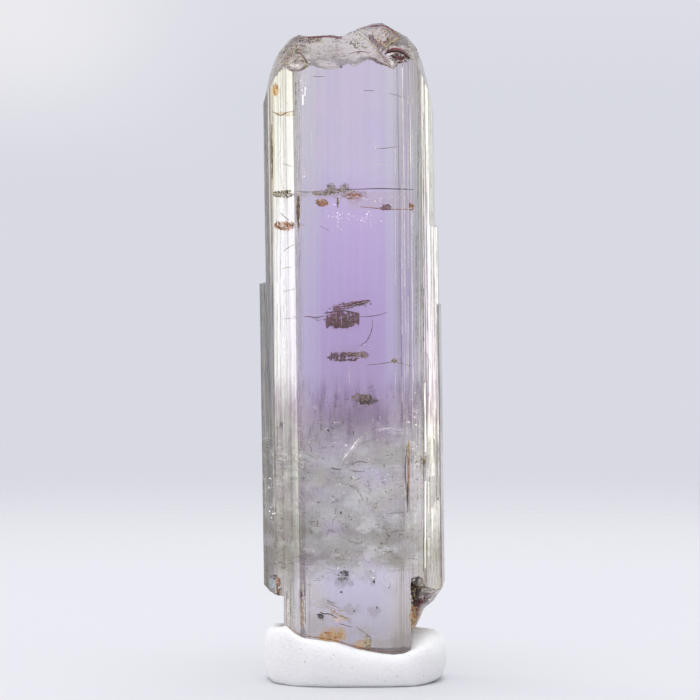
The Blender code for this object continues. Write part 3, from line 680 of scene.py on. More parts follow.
# Fine cracks and rims by mineral: radius, depth behind the skin, (x, height) places on the front.
STRANDS = {
    "rust": [
        (0.035, 0.1, [(-4.5, 31.63), (-4.22, 31.52), (-4.0, 31.38), (-3.78, 31.55),
            (-3.5, 31.63), (-3.17, 31.61)]),
        (0.03, 0.8, [(0.4, 26.34), (1.2, 26.28), (1.8, 26.2), (2.6, 26.22), (3.35, 26.18)]),
        (0.032, 0.04, [(-3.72, 3.06), (-3.61, 2.9), (-3.17, 2.61), (-2.72, 2.42), (-1.83, 2.31),
            (-1.0, 2.17), (-0.33, 1.96), (0.22, 1.81), (0.72, 1.68), (1.5, 1.57), (2.22, 1.5),
            (2.78, 1.55), (3.1, 1.64)]),
        (0.04, 0.24, [(3.125, 13.1), (3.12, 12.3), (3.11, 11.4), (3.11, 10.6), (3.09, 9.8)]),
    ],
    "olive_brown": [
        (0.018, 0.25, [(-3.94, 28.76), (-3.67, 28.68), (-3.44, 28.6), (-3.22, 28.57)]),
        (0.016, 0.2, [(-4.06, 27.96), (-3.83, 27.51), (-3.89, 27.29)]),
        (0.018, 0.1, [(-3.89, 23.84), (-3.72, 24.0), (-3.5, 24.14), (-3.17, 24.28)]),
        (0.018, 0.1, [(-3.94, 22.89), (-3.78, 22.97), (-3.39, 23.0)]),
        (0.018, 0.1, [(-3.86, 21.61), (-3.67, 21.69), (-3.22, 21.78)]),
        (0.016, 0.1, [(-3.89, 20.1), (-3.61, 20.16), (-3.11, 20.16)]),
        (0.02, 0.4, [(-2.22, 33.58), (-1.89, 33.56), (-1.56, 33.58)]),
        (0.02, 1.2, [(2.0, 32.64), (2.39, 32.55), (2.67, 32.44), (2.89, 32.36)]),
        (0.024, 0.8, [(1.33, 29.57), (1.72, 29.59), (2.06, 29.63), (2.39, 29.68)]),
        (0.026, 0.3, [(-3.11, 27.21), (-2.67, 27.15), (-2.17, 27.18), (-1.67, 27.23)]),
        (0.022, 0.7, [(0.72, 17.54), (1.22, 17.57), (1.78, 17.65), (2.22, 17.74), (2.61, 17.65),
            (3.4, 17.45)]),
        (0.02, 0.1, [(-4.83, 6.46), (-4.56, 6.38), (-4.22, 6.52), (-3.94, 6.54), (-3.72, 6.29)]),
        (0.024, 0.8, [(-1.44, 4.29), (-1.06, 4.12), (-0.72, 3.95)]),
        (0.02, 0.3, [(4.25, 11.31), (4.25, 9.19)]),
        (0.02, 0.15, [(4.0, 18.27), (4.22, 17.93), (4.33, 17.38)]),
        (0.07, -0.02, [(1.56, 34.92), (1.78, 35.14), (2.06, 35.39), (2.43, 35.68)]),
        (0.024, 0.0, [(0.19, 36.05), (0.61, 35.75), (1.0, 35.4), (1.39, 34.95), (1.67, 34.62),
            (1.94, 34.31), (2.22, 33.98)]),
        (0.03, 0.25, [(0.1, 16.05), (0.4, 15.85), (0.8, 15.75), (1.2, 15.62)]),
        (0.024, 0.6, [(-0.85, 3.55), (-0.5, 3.5), (-0.1, 3.32)]),
        (0.024, 0.5, [(-0.75, 3.1), (-0.35, 2.98), (-0.02, 2.9)]),
        (0.018, 0.4, [(0.15, 2.95), (0.45, 2.7), (0.75, 2.55), (1.0, 2.3)]),
    ],
    "black_brown": [
        (0.026, 0.15, [(-4.06, 26.01), (-3.94, 25.95), (-3.78, 25.76), (-3.56, 25.59)]),
        (0.03, 0.5, [(-0.5, 27.3), (0.4, 27.33), (1.4, 27.36), (2.4, 27.34), (3.35, 27.3)]),
        (0.02, 1.0, [(-0.06, 11.97), (0.11, 12.14), (0.44, 12.17), (0.83, 12.09)]),
        (0.018, 1.1, [(-0.06, 11.64), (0.28, 11.56), (0.67, 11.64)]),
        (0.03, 0.9, [(-1.22, 11.81), (-0.94, 11.7), (-0.67, 11.75)]),
        (0.03, 0.7, [(-1.85, 3.75), (-1.6, 3.62), (-1.28, 3.68), (-0.89, 3.4)]),
        (0.12, -0.04, [(1.78, 34.82), (1.94, 34.92), (2.17, 34.97), (2.43, 34.98), (2.72, 34.91),
            (2.94, 34.77), (3.08, 34.6)]),
        (0.05, 0.0, [(2.05, 34.72), (2.35, 34.66), (2.65, 34.7), (2.9, 34.58)]),
        (0.034, -0.01, [(-3.24, 34.97), (-3.06, 34.92), (-2.89, 34.84), (-2.72, 34.64),
            (-2.56, 34.39), (-2.33, 34.16)]),
        (0.075, 0.3, [(3.065, 13.1), (3.05, 12.2), (3.06, 11.2), (3.05, 10.2), (3.06, 9.35)]),
        (0.034, 0.25, [(-1.6, 20.42), (-1.1, 20.52), (-0.6, 20.58), (-0.1, 20.52), (0.3, 20.4)]),
        (0.03, 0.25, [(-0.2, 20.8), (0.3, 20.9), (0.7, 21.02), (0.95, 21.14)]),
        (0.022, 0.6, [(-1.45, 4.42), (-1.2, 4.26), (-1.0, 4.24)]),
    ],
    "red_brown": [
        (0.018, 1.0, [(0.61, 32.8), (0.89, 32.77), (1.17, 32.8)]),
        (0.022, 1.0, [(0.28, 20.24), (0.72, 20.22), (1.11, 20.27), (1.5, 20.33), (1.89, 20.49)]),
        (0.022, 1.2, [(1.06, 20.16), (1.08, 19.71), (1.0, 19.33), (0.83, 18.99), (0.67, 18.77),
            (0.33, 18.6)]),
        (0.028, 1.4, [(-2.72, 20.22), (-2.44, 20.27), (-2.11, 20.16), (-1.56, 20.27)]),
        (0.055, 0.1, [(-4.83, 6.3), (-4.69, 5.96), (-4.61, 5.74), (-4.44, 5.82), (-4.28, 5.79),
            (-4.17, 5.62), (-4.06, 5.46)]),
        (0.046, -0.01, [(-3.17, 35.66), (-2.83, 35.74), (-2.11, 35.76), (-1.56, 35.78),
            (-1.0, 35.75), (-0.61, 35.75)]),
        (0.046, -0.01, [(0.44, 36.2), (0.89, 36.36), (1.61, 36.38), (2.0, 36.28), (2.33, 35.98)]),
        (0.06, -0.1, [(1.85, 34.92), (2.05, 35.03), (2.3, 35.07), (2.6, 35.03), (2.85, 34.92)]),
        (0.036, 0.0, [(-0.11, 34.84), (0.11, 34.93), (0.44, 34.96), (0.72, 34.93), (0.89, 34.84)]),
        (0.04, 0.25, [(-0.9, 20.74), (-0.4, 20.82), (0.1, 20.98), (0.5, 21.1), (0.9, 21.16)]),
    ],
    "white_veil": [
        (0.022, 0.8, [(1.28, 28.7), (1.7, 28.68), (2.0, 28.72)]),
        (0.02, 0.6, [(-0.89, 25.23), (-0.72, 25.12), (-0.56, 25.01)]),
        (0.026, 1.2, [(-0.22, 17.5), (-0.22, 17.0), (-0.2, 16.45)]),
        (0.022, 0.1, [(-2.36, 34.3), (-2.36, 35.1), (-2.34, 35.85)]),
        (0.02, 0.3, [(-2.8, 33.8), (-2.82, 33.2), (-2.79, 32.3)]),
        (0.014, 0.3, [(-2.92, 33.9), (-2.93, 33.4), (-2.92, 32.9)]),
        (0.016, 0.3, [(-2.62, 33.8), (-2.6, 33.3), (-2.62, 32.8)]),
        (0.012, 0.3, [(-2.45, 33.8), (-2.47, 33.4), (-2.46, 33.1)]),
        (0.055, 1.2, [(-0.67, 12.09), (-0.5, 12.42), (-0.28, 12.7), (0.0, 13.14), (0.33, 13.48),
            (0.72, 13.7), (1.11, 13.87), (1.5, 13.98), (1.89, 14.03), (2.5, 13.98), (3.06, 13.92)]),
        (0.018, 0.5, [(-2.6, 4.9), (-2.62, 4.4), (-2.58, 3.9)]),
        (0.014, 0.5, [(-2.3, 5.2), (-2.32, 4.7), (-2.28, 4.1)]),
        (0.012, 0.3, [(-2.78, 5.6), (-2.76, 4.9), (-2.78, 4.3)]),
        (0.016, 0.3, [(-2.72, 4.1), (-2.74, 3.4), (-2.7, 2.9)]),
    ],
    "grey_veil": [
        (0.024, 0.6, [(-1.83, 25.28), (-1.56, 25.12), (-1.28, 25.01)]),
        (0.018, 0.0, [(-0.28, 34.47), (-0.06, 34.19), (0.06, 34.1), (0.28, 34.31), (0.56, 34.47)]),
    ],
    "amber": [
        (0.026, 0.9, [(-1.56, 4.12), (-1.11, 3.79), (-0.56, 3.51), (-0.06, 3.12)]),
    ],
    "brass": [
        (0.05, 0.25, [(3.1, 13.3), (3.12, 13.0), (3.12, 12.5), (3.1, 12.0)]),
        (0.022, 0.6, [(-1.35, 4.02), (-1.0, 3.92), (-0.6, 3.8), (-0.2, 3.84)]),
    ],
    "pink_veil": [
        (0.01, 0.2, [(-0.93, 20.5), (-0.95, 20.15), (-0.93, 19.95)]),
        (0.013, 0.22, [(-0.62, 20.36), (-0.65, 20.05), (-0.63, 19.74)]),
        (0.009, 0.22, [(-0.3, 20.4), (-0.31, 20.2), (-0.3, 20.05)]),
        (0.01, 0.2, [(-0.3, 18.2), (-0.32, 18.0), (-0.3, 17.85)]),
    ],
    "glint": [
        (0.024, 1.15, [(-0.55, 12.25), (-0.25, 12.68), (0.05, 13.12), (0.35, 13.44)]),
    ],
}

# Flat inclusions: mineral, middle (x, height), half width and height, depth, how far it leans back,
# how full it is, and its slope to the right.
PATCHES = [
    ("red_brown", (-0.64, 20.1), (0.98, 0.52), 1.6, 1.6, 0.3, 0.0),
    ("black_brown", (-0.6, 20.0), (0.8, 0.38), 1.9, 1.2, 0.2, 0.0),
    ("red_brown", (-0.25, 20.86), (1.12, 0.19), 1.4, 1.2, 0.3, 0.2),
    ("grey_veil", (0.25, 20.94), (0.8, 0.15), 1.2, 0.9, 0.2, 0.2),
    ("red_brown", (-0.42, 18.02), (1.1, 0.26), 1.5, 1.6, 0.25, 0.0),
    ("olive_brown", (0.28, 18.12), (0.62, 0.19), 1.3, 1.2, 0.2, 0.0),
    ("black_brown", (0.78, 15.58), (0.62, 0.24), 1.5, 1.4, 0.35, 0.0),
    ("olive_brown", (0.45, 15.75), (0.55, 0.2), 1.6, 1.4, 0.4, 0.0),
    ("rust", (-1.72, 26.58), (0.34, 0.22), 0.9, 0.8, 0.55, 0.0),
    ("olive_brown", (-0.86, 26.58), (0.07, 0.28), 0.9, 0.2, 1.0, 0.0),
    ("grey_veil", (-1.22, 27.42), (0.24, 0.24), 0.8, 0.5, 0.25, 0.0),
    ("olive_brown", (-1.22, 27.3), (0.3, 0.12), 0.9, 0.5, 0.4, 0.0),
    ("grey_veil", (-0.46, 27.42), (0.26, 0.24), 0.8, 0.5, 0.25, 0.0),
    ("olive_brown", (-0.5, 27.28), (0.36, 0.13), 0.9, 0.5, 0.4, 0.0),
    ("olive_brown", (-1.6, 27.1), (0.7, 0.14), 0.9, 1.0, 0.25, 0.0),
    ("rust", (-0.05, 26.95), (0.55, 0.18), 1.0, 1.0, 0.15, 0.0),
    ("red_brown", (1.78, 26.32), (0.3, 0.2), 1.1, 0.8, 0.3, 0.0),
    ("rust", (3.25, 26.34), (0.15, 0.2), 0.7, 0.4, 0.4, 0.0),
    ("rust", (-3.78, 25.3), (0.58, 0.26), 0.12, 0.0, 0.05, 0.0),
    ("olive_brown", (-3.05, 26.0), (0.1, 0.98), 0.12, 0.0, 0.6, 0.0),
    ("olive_brown", (-3.85, 27.05), (0.6, 0.22), 0.15, 0.0, 0.05, 0.0),
    ("amber", (-4.3, 32.88), (0.12, 0.36), 0.08, 0.0, 0.1, 0.0),
    ("olive_brown", (-4.5, 29.4), (0.06, 1.7), 0.08, 0.0, 0.3, 0.0),
    ("olive_brown", (2.3, 17.78), (0.16, 0.14), 0.7, 0.2, 0.6, 0.0),
    ("black_brown", (-0.46, 5.92), (0.26, 0.17), 0.8, 0.3, 0.1, 0.0),
    ("grey_veil", (-0.56, 5.66), (0.32, 0.24), 0.9, 0.4, 0.05, 0.0),
    ("grey_veil", (1.12, 5.42), (0.14, 0.2), 0.9, 0.3, 0.1, 0.0),
    ("rust", (-1.22, 2.45), (0.6, 0.2), 0.4, 0.3, -0.2, 0.0),
    ("olive_brown", (0.84, 2.12), (0.17, 0.34), 0.35, 0.2, -0.15, 0.0),
    ("black_brown", (-1.8, 3.54), (0.2, 0.15), 0.6, 0.3, 0.3, 0.0),
    ("amber", (-1.14, 3.72), (0.16, 0.09), 0.6, 0.2, 0.1, 0.0),
    ("pink_veil", (-0.78, 3.3), (0.26, 0.12), 0.7, 0.3, 0.05, 0.0),
    ("white_veil", (-1.97, 4.2), (0.1, 0.14), 0.5, 0.2, 0.7, 0.0),
    ("white_veil", (0.02, 12.95), (0.56, 0.12), 1.15, 0.2, 0.15, 0.88),
    ("white_veil", (2.35, 13.76), (0.48, 0.07), 1.15, 0.1, 0.05, 0.0),
    ("white_veil", (-2.76, 4.0), (0.08, 0.9), 0.3, 0.1, -0.2, 0.0),
    ("olive_brown", (3.85, 12.2), (0.28, 0.3), 0.2, 0.1, -0.15, 0.0),
    ("teal_film", (-4.6, 5.4), (0.13, 0.14), 0.06, 0.0, 0.0, 0.0),
    ("rust", (-4.14, 5.46), (0.1, 0.2), 0.06, 0.0, 0.05, 0.0),
    ("red_brown", (-4.45, 5.7), (0.22, 0.14), 0.1, 0.0, 0.2, 0.0),
    ("black_brown", (3.42, 5.0), (0.22, 0.52), 0.05, 0.0, 0.45, 0.0),
    ("red_brown", (3.68, 4.28), (0.3, 0.22), 0.05, 0.0, 0.6, 0.0),
    ("rust", (3.52, 3.72), (0.32, 0.38), 0.05, 0.0, 0.1, 0.0),
    ("black_brown", (2.55, 34.62), (0.5, 0.22), 0.15, 0.0, 0.15, 0.0),
    ("olive_brown", (2.1, 35.45), (0.6, 0.34), 0.12, 0.0, -0.05, 0.0),
    ("red_brown", (2.02, 35.3), (0.52, 0.26), 0.18, 0.0, -0.22, 0.0),
    ("olive_brown", (-3.45, 34.95), (0.62, 0.5), 0.12, 0.0, -0.25, 0.0),
    ("olive_brown", (0.2, 35.35), (0.55, 0.4), 0.12, 0.0, -0.38, 0.0),
    ("olive_brown", (3.25, 35.05), (0.32, 0.5), 0.12, 0.0, -0.3, 0.0),
]

# Painted glints, grains shining by emission where tiny fractures would catch the light: middle (x,
# height), half sizes, depth, count, grain size.
SPARKLES = [
    ((-0.8, 25.75), (0.65, 0.38), 0.9, 40, 0.06),
    ((0.6, 25.72), (0.85, 0.36), 0.9, 40, 0.055),
    ((0.9, 26.75), (1.9, 0.3), 0.9, 50, 0.045),
    ((-2.7, 28.6), (0.24, 0.8), 0.5, 30, 0.05),
    ((-3.35, 12.2), (0.3, 0.7), 0.4, 20, 0.06),
    ((-2.35, 10.4), (0.3, 0.6), 0.7, 22, 0.065),
    ((1.2, 14.3), (0.4, 0.3), 0.9, 10, 0.07),
    ((3.4, 14.9), (0.25, 0.9), 0.5, 24, 0.075),
    ((3.56, 12.2), (0.18, 0.45), 0.4, 22, 0.06),
    ((-3.62, 3.85), (0.12, 0.55), 0.3, 30, 0.065),
    ((-3.25, 3.75), (0.1, 0.3), 0.3, 14, 0.06),
    ((1.75, 13.95), (0.35, 0.12), 0.9, 18, 0.05),
    ((3.3, 13.1), (0.28, 0.25), 0.6, 26, 0.055),
    ((-4.2, 7.0), (0.25, 0.4), 0.3, 12, 0.06),
    ((1.75, 6.8), (0.3, 0.55), 0.8, 22, 0.06),
    ((-2.75, 33.2), (0.28, 0.75), 0.4, 34, 0.05),
    ((3.7, 4.2), (0.3, 0.5), 0.08, 10, 0.06),
]

# Dark specks: x, height and size.
SPECKS = [
    (-1.61, 34.64, 0.09), (-0.67, 34.08, 0.1), (0.14, 35.31, 0.08), (-2.06, 14.93, 0.05),
    (2.26, 15.76, 0.06), (-1.39, 13.92, 0.08), (-0.67, 9.3, 0.09), (1.33, 10.75, 0.07),
    (-4.44, 8.91, 0.06), (4.74, 10.08, 0.09), (-3.89, 11.42, 0.05), (-3.17, 11.25, 0.05),
    (-2.78, 11.25, 0.06), (-2.5, 11.53, 0.05), (-1.94, 9.86, 0.08), (-3.06, 9.63, 0.07),
    (-0.67, 4.85, 0.11), (0.06, 3.79, 0.08), (1.33, 4.01, 0.1), (-3.5, 34.86, 0.07),
    (-3.67, 32.08, 0.05), (1.14, 5.43, 0.1), (1.81, 10.47, 0.06), (-2.28, 8.19, 0.07),
    (0.72, 21.05, 0.05), (2.86, 12.4, 0.05), (-0.1, 34.9, 0.06), (0.9, 34.5, 0.05),
]

# Grains gathered in one spot: minerals, middle (x, height), half sizes, depth, count, grain size.
CLUSTERS = [
    ("red_brown black_brown red_brown olive_brown", (-0.64, 20.08), (0.95, 0.48), 0.35, 420, 0.052),
    ("pink_veil white_veil red_brown", (-0.7, 20.1), (0.9, 0.5), 0.25, 60, 0.032),
    ("red_brown olive_brown black_brown", (0.1, 20.93), (0.95, 0.16), 0.25, 170, 0.042),
    ("red_brown red_brown black_brown", (-0.55, 17.98), (1.0, 0.24), 0.2, 330, 0.048),
    ("olive_brown red_brown", (0.45, 18.05), (0.5, 0.22), 0.2, 110, 0.042),
    ("white_veil pink_veil", (0.6, 18.55), (0.55, 0.3), 1.2, 26, 0.035),
    ("olive_brown black_brown red_brown", (0.78, 15.58), (0.66, 0.3), 0.25, 200, 0.048),
    ("grey_veil olive_brown", (-0.9, 15.3), (1.0, 0.55), 1.4, 70, 0.04),
    ("red_brown grey_veil", (-1.9, 20.15), (0.35, 0.16), 1.3, 36, 0.045),
    ("grey_veil olive_brown black_brown", (-0.9, 27.22), (0.9, 0.16), 0.5, 150, 0.042),
    ("grey_veil olive_brown", (-1.22, 27.46), (0.25, 0.22), 0.4, 90, 0.042),
    ("grey_veil olive_brown", (-0.46, 27.46), (0.27, 0.22), 0.4, 90, 0.042),
    ("red_brown rust olive_brown grey_veil", (0.05, 27.02), (0.7, 0.24), 0.5, 170, 0.042),
    ("rust red_brown black_brown", (1.78, 26.32), (0.34, 0.22), 0.5, 120, 0.042),
    ("rust amber", (-1.66, 26.56), (0.32, 0.2), 0.5, 90, 0.046),
    ("rust beige_crust olive_brown", (-3.8, 25.3), (0.58, 0.24), 0.1, 130, 0.042),
    ("olive_brown grey_veil beige_crust", (-3.85, 27.05), (0.62, 0.2), 0.1, 120, 0.042),
    ("beige_crust white_veil olive_brown", (3.12, 12.7), (0.13, 0.5), 0.4, 50, 0.035),
    ("beige_crust glint olive_brown", (3.58, 12.15), (0.14, 0.38), 0.3, 40, 0.04),
    ("olive_brown black_brown grey_veil", (-0.3, 11.9), (0.9, 0.25), 1.1, 40, 0.035),
    ("grey_veil black_brown grey_veil", (-0.5, 5.8), (0.3, 0.28), 0.5, 110, 0.04),
    ("amber olive_brown white_veil", (-1.1, 3.72), (0.45, 0.22), 0.6, 46, 0.04),
    ("black_brown olive_brown", (-1.76, 3.5), (0.16, 0.18), 0.6, 36, 0.045),
    ("amber rust", (-1.2, 2.5), (0.62, 0.26), 0.2, 60, 0.034),
    ("amber olive_brown", (0.6, 2.1), (0.45, 0.22), 0.2, 44, 0.032),
    ("red_brown rust teal_film white_veil", (-4.45, 5.55), (0.32, 0.35), 0.08, 70, 0.045),
    ("beige_crust brass", (3.38, 4.9), (0.2, 0.55), -0.02, 60, 0.04),
    ("red_brown black_brown", (3.85, 4.3), (0.42, 0.3), -0.01, 130, 0.052),
    ("brass beige_crust rust", (3.45, 3.6), (0.25, 0.45), -0.01, 110, 0.05),
    ("olive_brown beige_crust olive_brown rust", (-3.5, 34.8), (0.85, 0.62), 0.0, 240, 0.05),
    ("black_brown red_brown olive_brown", (-1.85, 35.62), (1.35, 0.18), -0.01, 380, 0.05),
    ("olive_brown red_brown olive_brown rust", (1.75, 35.75), (0.85, 0.55), 0.0, 420, 0.052),
    ("olive_brown black_brown", (0.15, 35.6), (0.45, 0.36), 0.0, 110, 0.042),
    ("black_brown red_brown", (2.45, 34.6), (0.52, 0.24), 0.0, 200, 0.06),
    ("black_brown olive_brown", (3.2, 34.9), (0.45, 0.8), 0.0, 170, 0.044),
    ("white_veil glint", (-2.85, 12.3), (0.16, 0.7), 0.4, 44, 0.04),
    ("white_veil", (-1.9, 10.6), (0.8, 0.9), 0.8, 90, 0.04),
    ("white_veil", (1.0, 10.2), (1.2, 1.2), 0.8, 110, 0.04),
    ("white_veil grey_veil", (1.7, 7.3), (0.5, 0.7), 0.8, 60, 0.042),
]


def build_inclusions(crystal, paints):
    """Everything that grew or cracked inside the crystal, one piece for each mineral."""
    inside = Inside(crystal)
    flecks = Flecks(5)
    draw = random.Random(11)
    forms = {name: bmesh.new() for name in paints}
    for mineral_name, strands in STRANDS.items():
        for radius, depth, line in strands:
            points = [inside.place(x, z, depth) for x, z in line]
            add_thread(forms[mineral_name], points, radius)
    for index, (mineral_name, *shape) in enumerate(PATCHES):
        build_patch(inside, forms[mineral_name], index, *shape)
    build_sparkles(inside, flecks, forms, draw)
    for x, z, size in SPECKS:
        flecks.add(forms["black_brown"], inside.place(x, z, 0.3), size, 0.8)
    build_clusters(inside, flecks, forms, draw)
    build_fractures(inside, forms, draw)
    build_cloud(flecks, forms, draw)
    build_growth_lines(inside, forms, draw)
    build_crusts(crystal, forms)
    for name, form in forms.items():
        new_piece("inclusions_" + name, form, paints[name])


def build_patch(inside, form, index, middle, half, depth, lean_back, fill, slope):
    """One flat inclusion, bent along the skin or leaning back behind it."""
    def spot(u, v, w):
        wave = 0.12 * noise_at(u * 2.0, v * 2.0, index)
        deep = depth + (lean_back * v / half[1] + wave if lean_back else 0.0)
        return inside.place(middle[0] + u, middle[1] + v + slope * u, max(0.03, deep) + w)

    cell = max(0.030, min(0.045, half[1] / 5.0, half[0] / 3.0))
    streaks = 0.9 if half[0] > 0.6 else 0.0
    add_sheet(form, spot, half, cell, 7.0 * index, fill, streaks)


def build_sparkles(inside, flecks, forms, draw):
    """Grains shining by emission, painted glints where tiny fractures would catch the light."""
    kinds = ("glint", "white_veil", "pink_veil", "pink_veil")
    for middle, half, depth, count, size in SPARKLES:
        for _ in range(count):
            x = middle[0] + half[0] * draw.gauss(0.0, 0.55)
            z = middle[1] + half[1] * draw.gauss(0.0, 0.55)
            point = inside.place(x, z, depth * draw.uniform(0.6, 1.6))
            form = forms[draw.choice(kinds)]
            flecks.add(form, point, size * draw.uniform(0.4, 1.3), 0.25, draw.uniform(0.8, 2.2))


def build_clusters(inside, flecks, forms, draw):
    """Grains of one or more minerals gathered in a ragged oval."""
    for kinds, middle, half, depth, count, size in CLUSTERS:
        names = kinds.split()
        for _ in range(count):
            turn = draw.uniform(0.0, math.tau)
            reach = draw.random() ** 0.6
            x = middle[0] + half[0] * reach * math.cos(turn)
            z = middle[1] + half[1] * reach * math.sin(turn)
            if noise_at(x * 2.6, z * 3.4, 7.7) < draw.uniform(-0.35, 0.15):
                continue
            point = inside.place(x, z, depth * draw.uniform(0.7, 1.5))
            grain = size * (0.35 + 1.1 * draw.random() ** 1.6)
            flecks.add(forms[draw.choice(names)], point, grain, 0.4, draw.uniform(0.7, 1.8))


CLOUD_GRAINS = 2600
CLOUD_KINDS = {"white_veil": 7, "glint": 2, "grey_veil": 5, "pink_veil": 2, "olive_brown": 2}


def build_cloud(flecks, forms, draw):
    """The cloudy part: grains gathered in veils, densest between 7 and 12 mm up."""
    kinds = [name for name, share in CLOUD_KINDS.items() for _ in range(share)]
    made = 0
    while made < CLOUD_GRAINS:
        x = draw.uniform(-4.7, 3.5)
        z = draw.uniform(4.6, 16.2)
        y = draw.uniform(-2.9, 2.7)
        if abs(x) > 3.0 and abs(y) > 3.0 - 0.9 * (abs(x) - 3.0):
            continue
        here = Vector((x, y, z))
        veil = 1.0 - min(1.0, abs(noise.noise(here * 0.55)) * 7.0)
        clump = noise.noise(here * 1.3 + Vector((9.0, 0.0, 0.0)))
        zone = ease(5.0, 7.0, z) * (1.0 - ease(12.0, 15.6, z))
        if draw.random() > zone * (0.06 + 0.94 * veil) * (0.45 + 1.1 * clump):
            continue
        size = 0.018 + 0.055 * draw.random() ** 3
        form = forms[draw.choice(kinds)]
        flecks.add(form, here * MM, size, draw.uniform(0.3, 1.0), draw.uniform(0.7, 2.2))
        made += 1


FRACTURES = 330


def build_fractures(inside, forms, draw):
    """Short curved healed cracks in the cloudy part, and a few above it."""
    names = ("white_veil", "white_veil", "grey_veil", "grey_veil", "olive_brown", "black_brown")
    made = 0
    while made < FRACTURES:
        x = draw.uniform(-4.6, 3.4)
        z = draw.gauss(10.4, 2.8)
        if not 5.2 < z < 16.5 or draw.random() > 0.35 + 1.3 * noise_at(x * 0.7, z * 0.7, 31.0):
            continue
        depth = draw.uniform(0.2, 3.0)
        lean = draw.gauss(0.0, 0.45) if draw.random() < 0.55 else draw.gauss(1.5, 0.25)
        length = draw.uniform(0.10, 0.55)
        bow = draw.uniform(-0.12, 0.12)
        line = []
        for step in range(4):
            share = step / 3.0 - 0.5
            along = share * length
            side = bow * (0.25 - share * share) * 4.0
            line.append(inside.place(
                x + along * math.sin(lean) + side, z + along * math.cos(lean), depth))
        add_thread(forms[draw.choice(names)], line, draw.uniform(0.008, 0.018))
        made += 1


# Growth lines, the pale ones shining by emission as painted highlights: mineral, radius, x, from and
# to height, depth, share missing.
GROWTH_LINES = [
    ("white_veil", 0.027, 2.72, 15.5, 33.4, 0.05, 0.1),
    ("white_veil", 0.018, 2.86, 12.0, 27.0, 0.06, 0.35),
    ("white_veil", 0.03, 3.06, 17.0, 33.0, 0.05, 0.12),
    ("white_veil", 0.024, 3.31, 14.0, 32.6, 0.05, 0.15),
    ("white_veil", 0.022, 3.69, 9.0, 31.5, 0.05, 0.2),
    ("grey_veil", 0.029, 3.5, 18.5, 25.0, 0.05, 0.15),
    ("grey_veil", 0.022, 3.6, 10.0, 30.5, 0.06, 0.3),
    ("olive_brown", 0.019, 3.92, 6.0, 32.0, 0.04, 0.1),
    ("olive_brown", 0.014, 4.11, 6.0, 30.5, 0.04, 0.3),
    ("olive_brown", 0.014, 4.31, 6.0, 29.5, 0.04, 0.25),
    ("olive_brown", 0.017, 4.5, 6.0, 24.5, 0.04, 0.3),
    ("olive_brown", 0.017, 4.66, 5.8, 24.0, 0.04, 0.25),
    ("olive_brown", 0.022, 4.83, 5.8, 20.8, 0.05, 0.15),
    ("grey_veil", 0.014, -4.02, 14.0, 33.0, 0.04, 0.25),
    ("olive_brown", 0.017, -4.22, 13.0, 27.5, 0.05, 0.3),
    ("grey_veil", 0.036, -3.17, 31.7, 33.7, 0.05, 0.0),
    ("glint", 0.03, -2.78, 32.0, 34.0, 0.08, 0.1), ("glint", 0.019, -2.66, 31.4, 33.6, 0.08, 0.35),
    ("white_veil", 0.019, -2.9, 7.0, 17.0, 0.06, 0.45),
    ("white_veil", 0.022, -3.6, 5.0, 14.5, 0.06, 0.4),
    ("white_veil", 0.022, -4.44, 5.6, 15.0, 0.06, 0.45),
    ("white_veil", 0.019, 2.95, 5.6, 13.5, 0.06, 0.4),
    # Bright lines on the right bevel: painted highlights.
    ("glint", 0.034, 4.02, 6.2, 17.0, 0.05, 0.22), ("glint", 0.03, 4.22, 6.2, 16.0, 0.05, 0.25),
    ("glint", 0.028, 4.42, 6.2, 15.0, 0.05, 0.25), ("white_veil", 0.026, 4.6, 6.4, 15.0, 0.05, 0.3),
    ("glint", 0.027, -3.62, 2.9, 5.4, 0.1, 0.2),
    ("olive_brown", 0.026, -3.47, 2.8, 5.6, 0.05, 0.25),
    ("grey_veil", 0.03, -3.7, 2.9, 5.6, 0.05, 0.2),
    ("white_veil", 0.03, -3.55, 2.9, 5.6, 0.04, 0.25),
    ("white_veil", 0.03, -3.18, 2.8, 5.6, 0.05, 0.2),
    ("grey_veil", 0.022, -3.0, 2.6, 5.6, 0.06, 0.35), ("glint", 0.022, -3.3, 2.9, 4.6, 0.1, 0.4),
    ("white_veil", 0.019, -4.88, 10.0, 22.0, 0.05, 0.45),
    ("white_veil", 0.016, -0.9, 15.0, 33.0, 0.3, 0.75),
    ("white_veil", 0.016, 1.25, 16.0, 33.0, 0.3, 0.75),
    ("white_veil", 0.016, -2.3, 14.0, 32.0, 0.3, 0.7),
    ("white_veil", 0.016, 2.35, 15.0, 31.0, 0.2, 0.6),
]


def build_growth_lines(inside, forms, draw):
    """Thin upright lines just under the skin, broken up here and there."""
    for index, (name, radius, x, low, high, depth, missing) in enumerate(GROWTH_LINES):
        run = []
        z = low
        while z < high:
            if 0.5 + 0.9 * noise_at(3.7 * index, z * 0.9, 0.5) < missing:
                add_thread(forms[name], run, radius, taper=False)
                run = []
            else:
                wander = 0.012 * noise_at(z * 0.7, 2.3 * index, 8.0)
                run.append(inside.place(x + wander, z, depth))
            z += draw.uniform(0.5, 0.9)
        add_thread(forms[name], run, radius, taper=False)


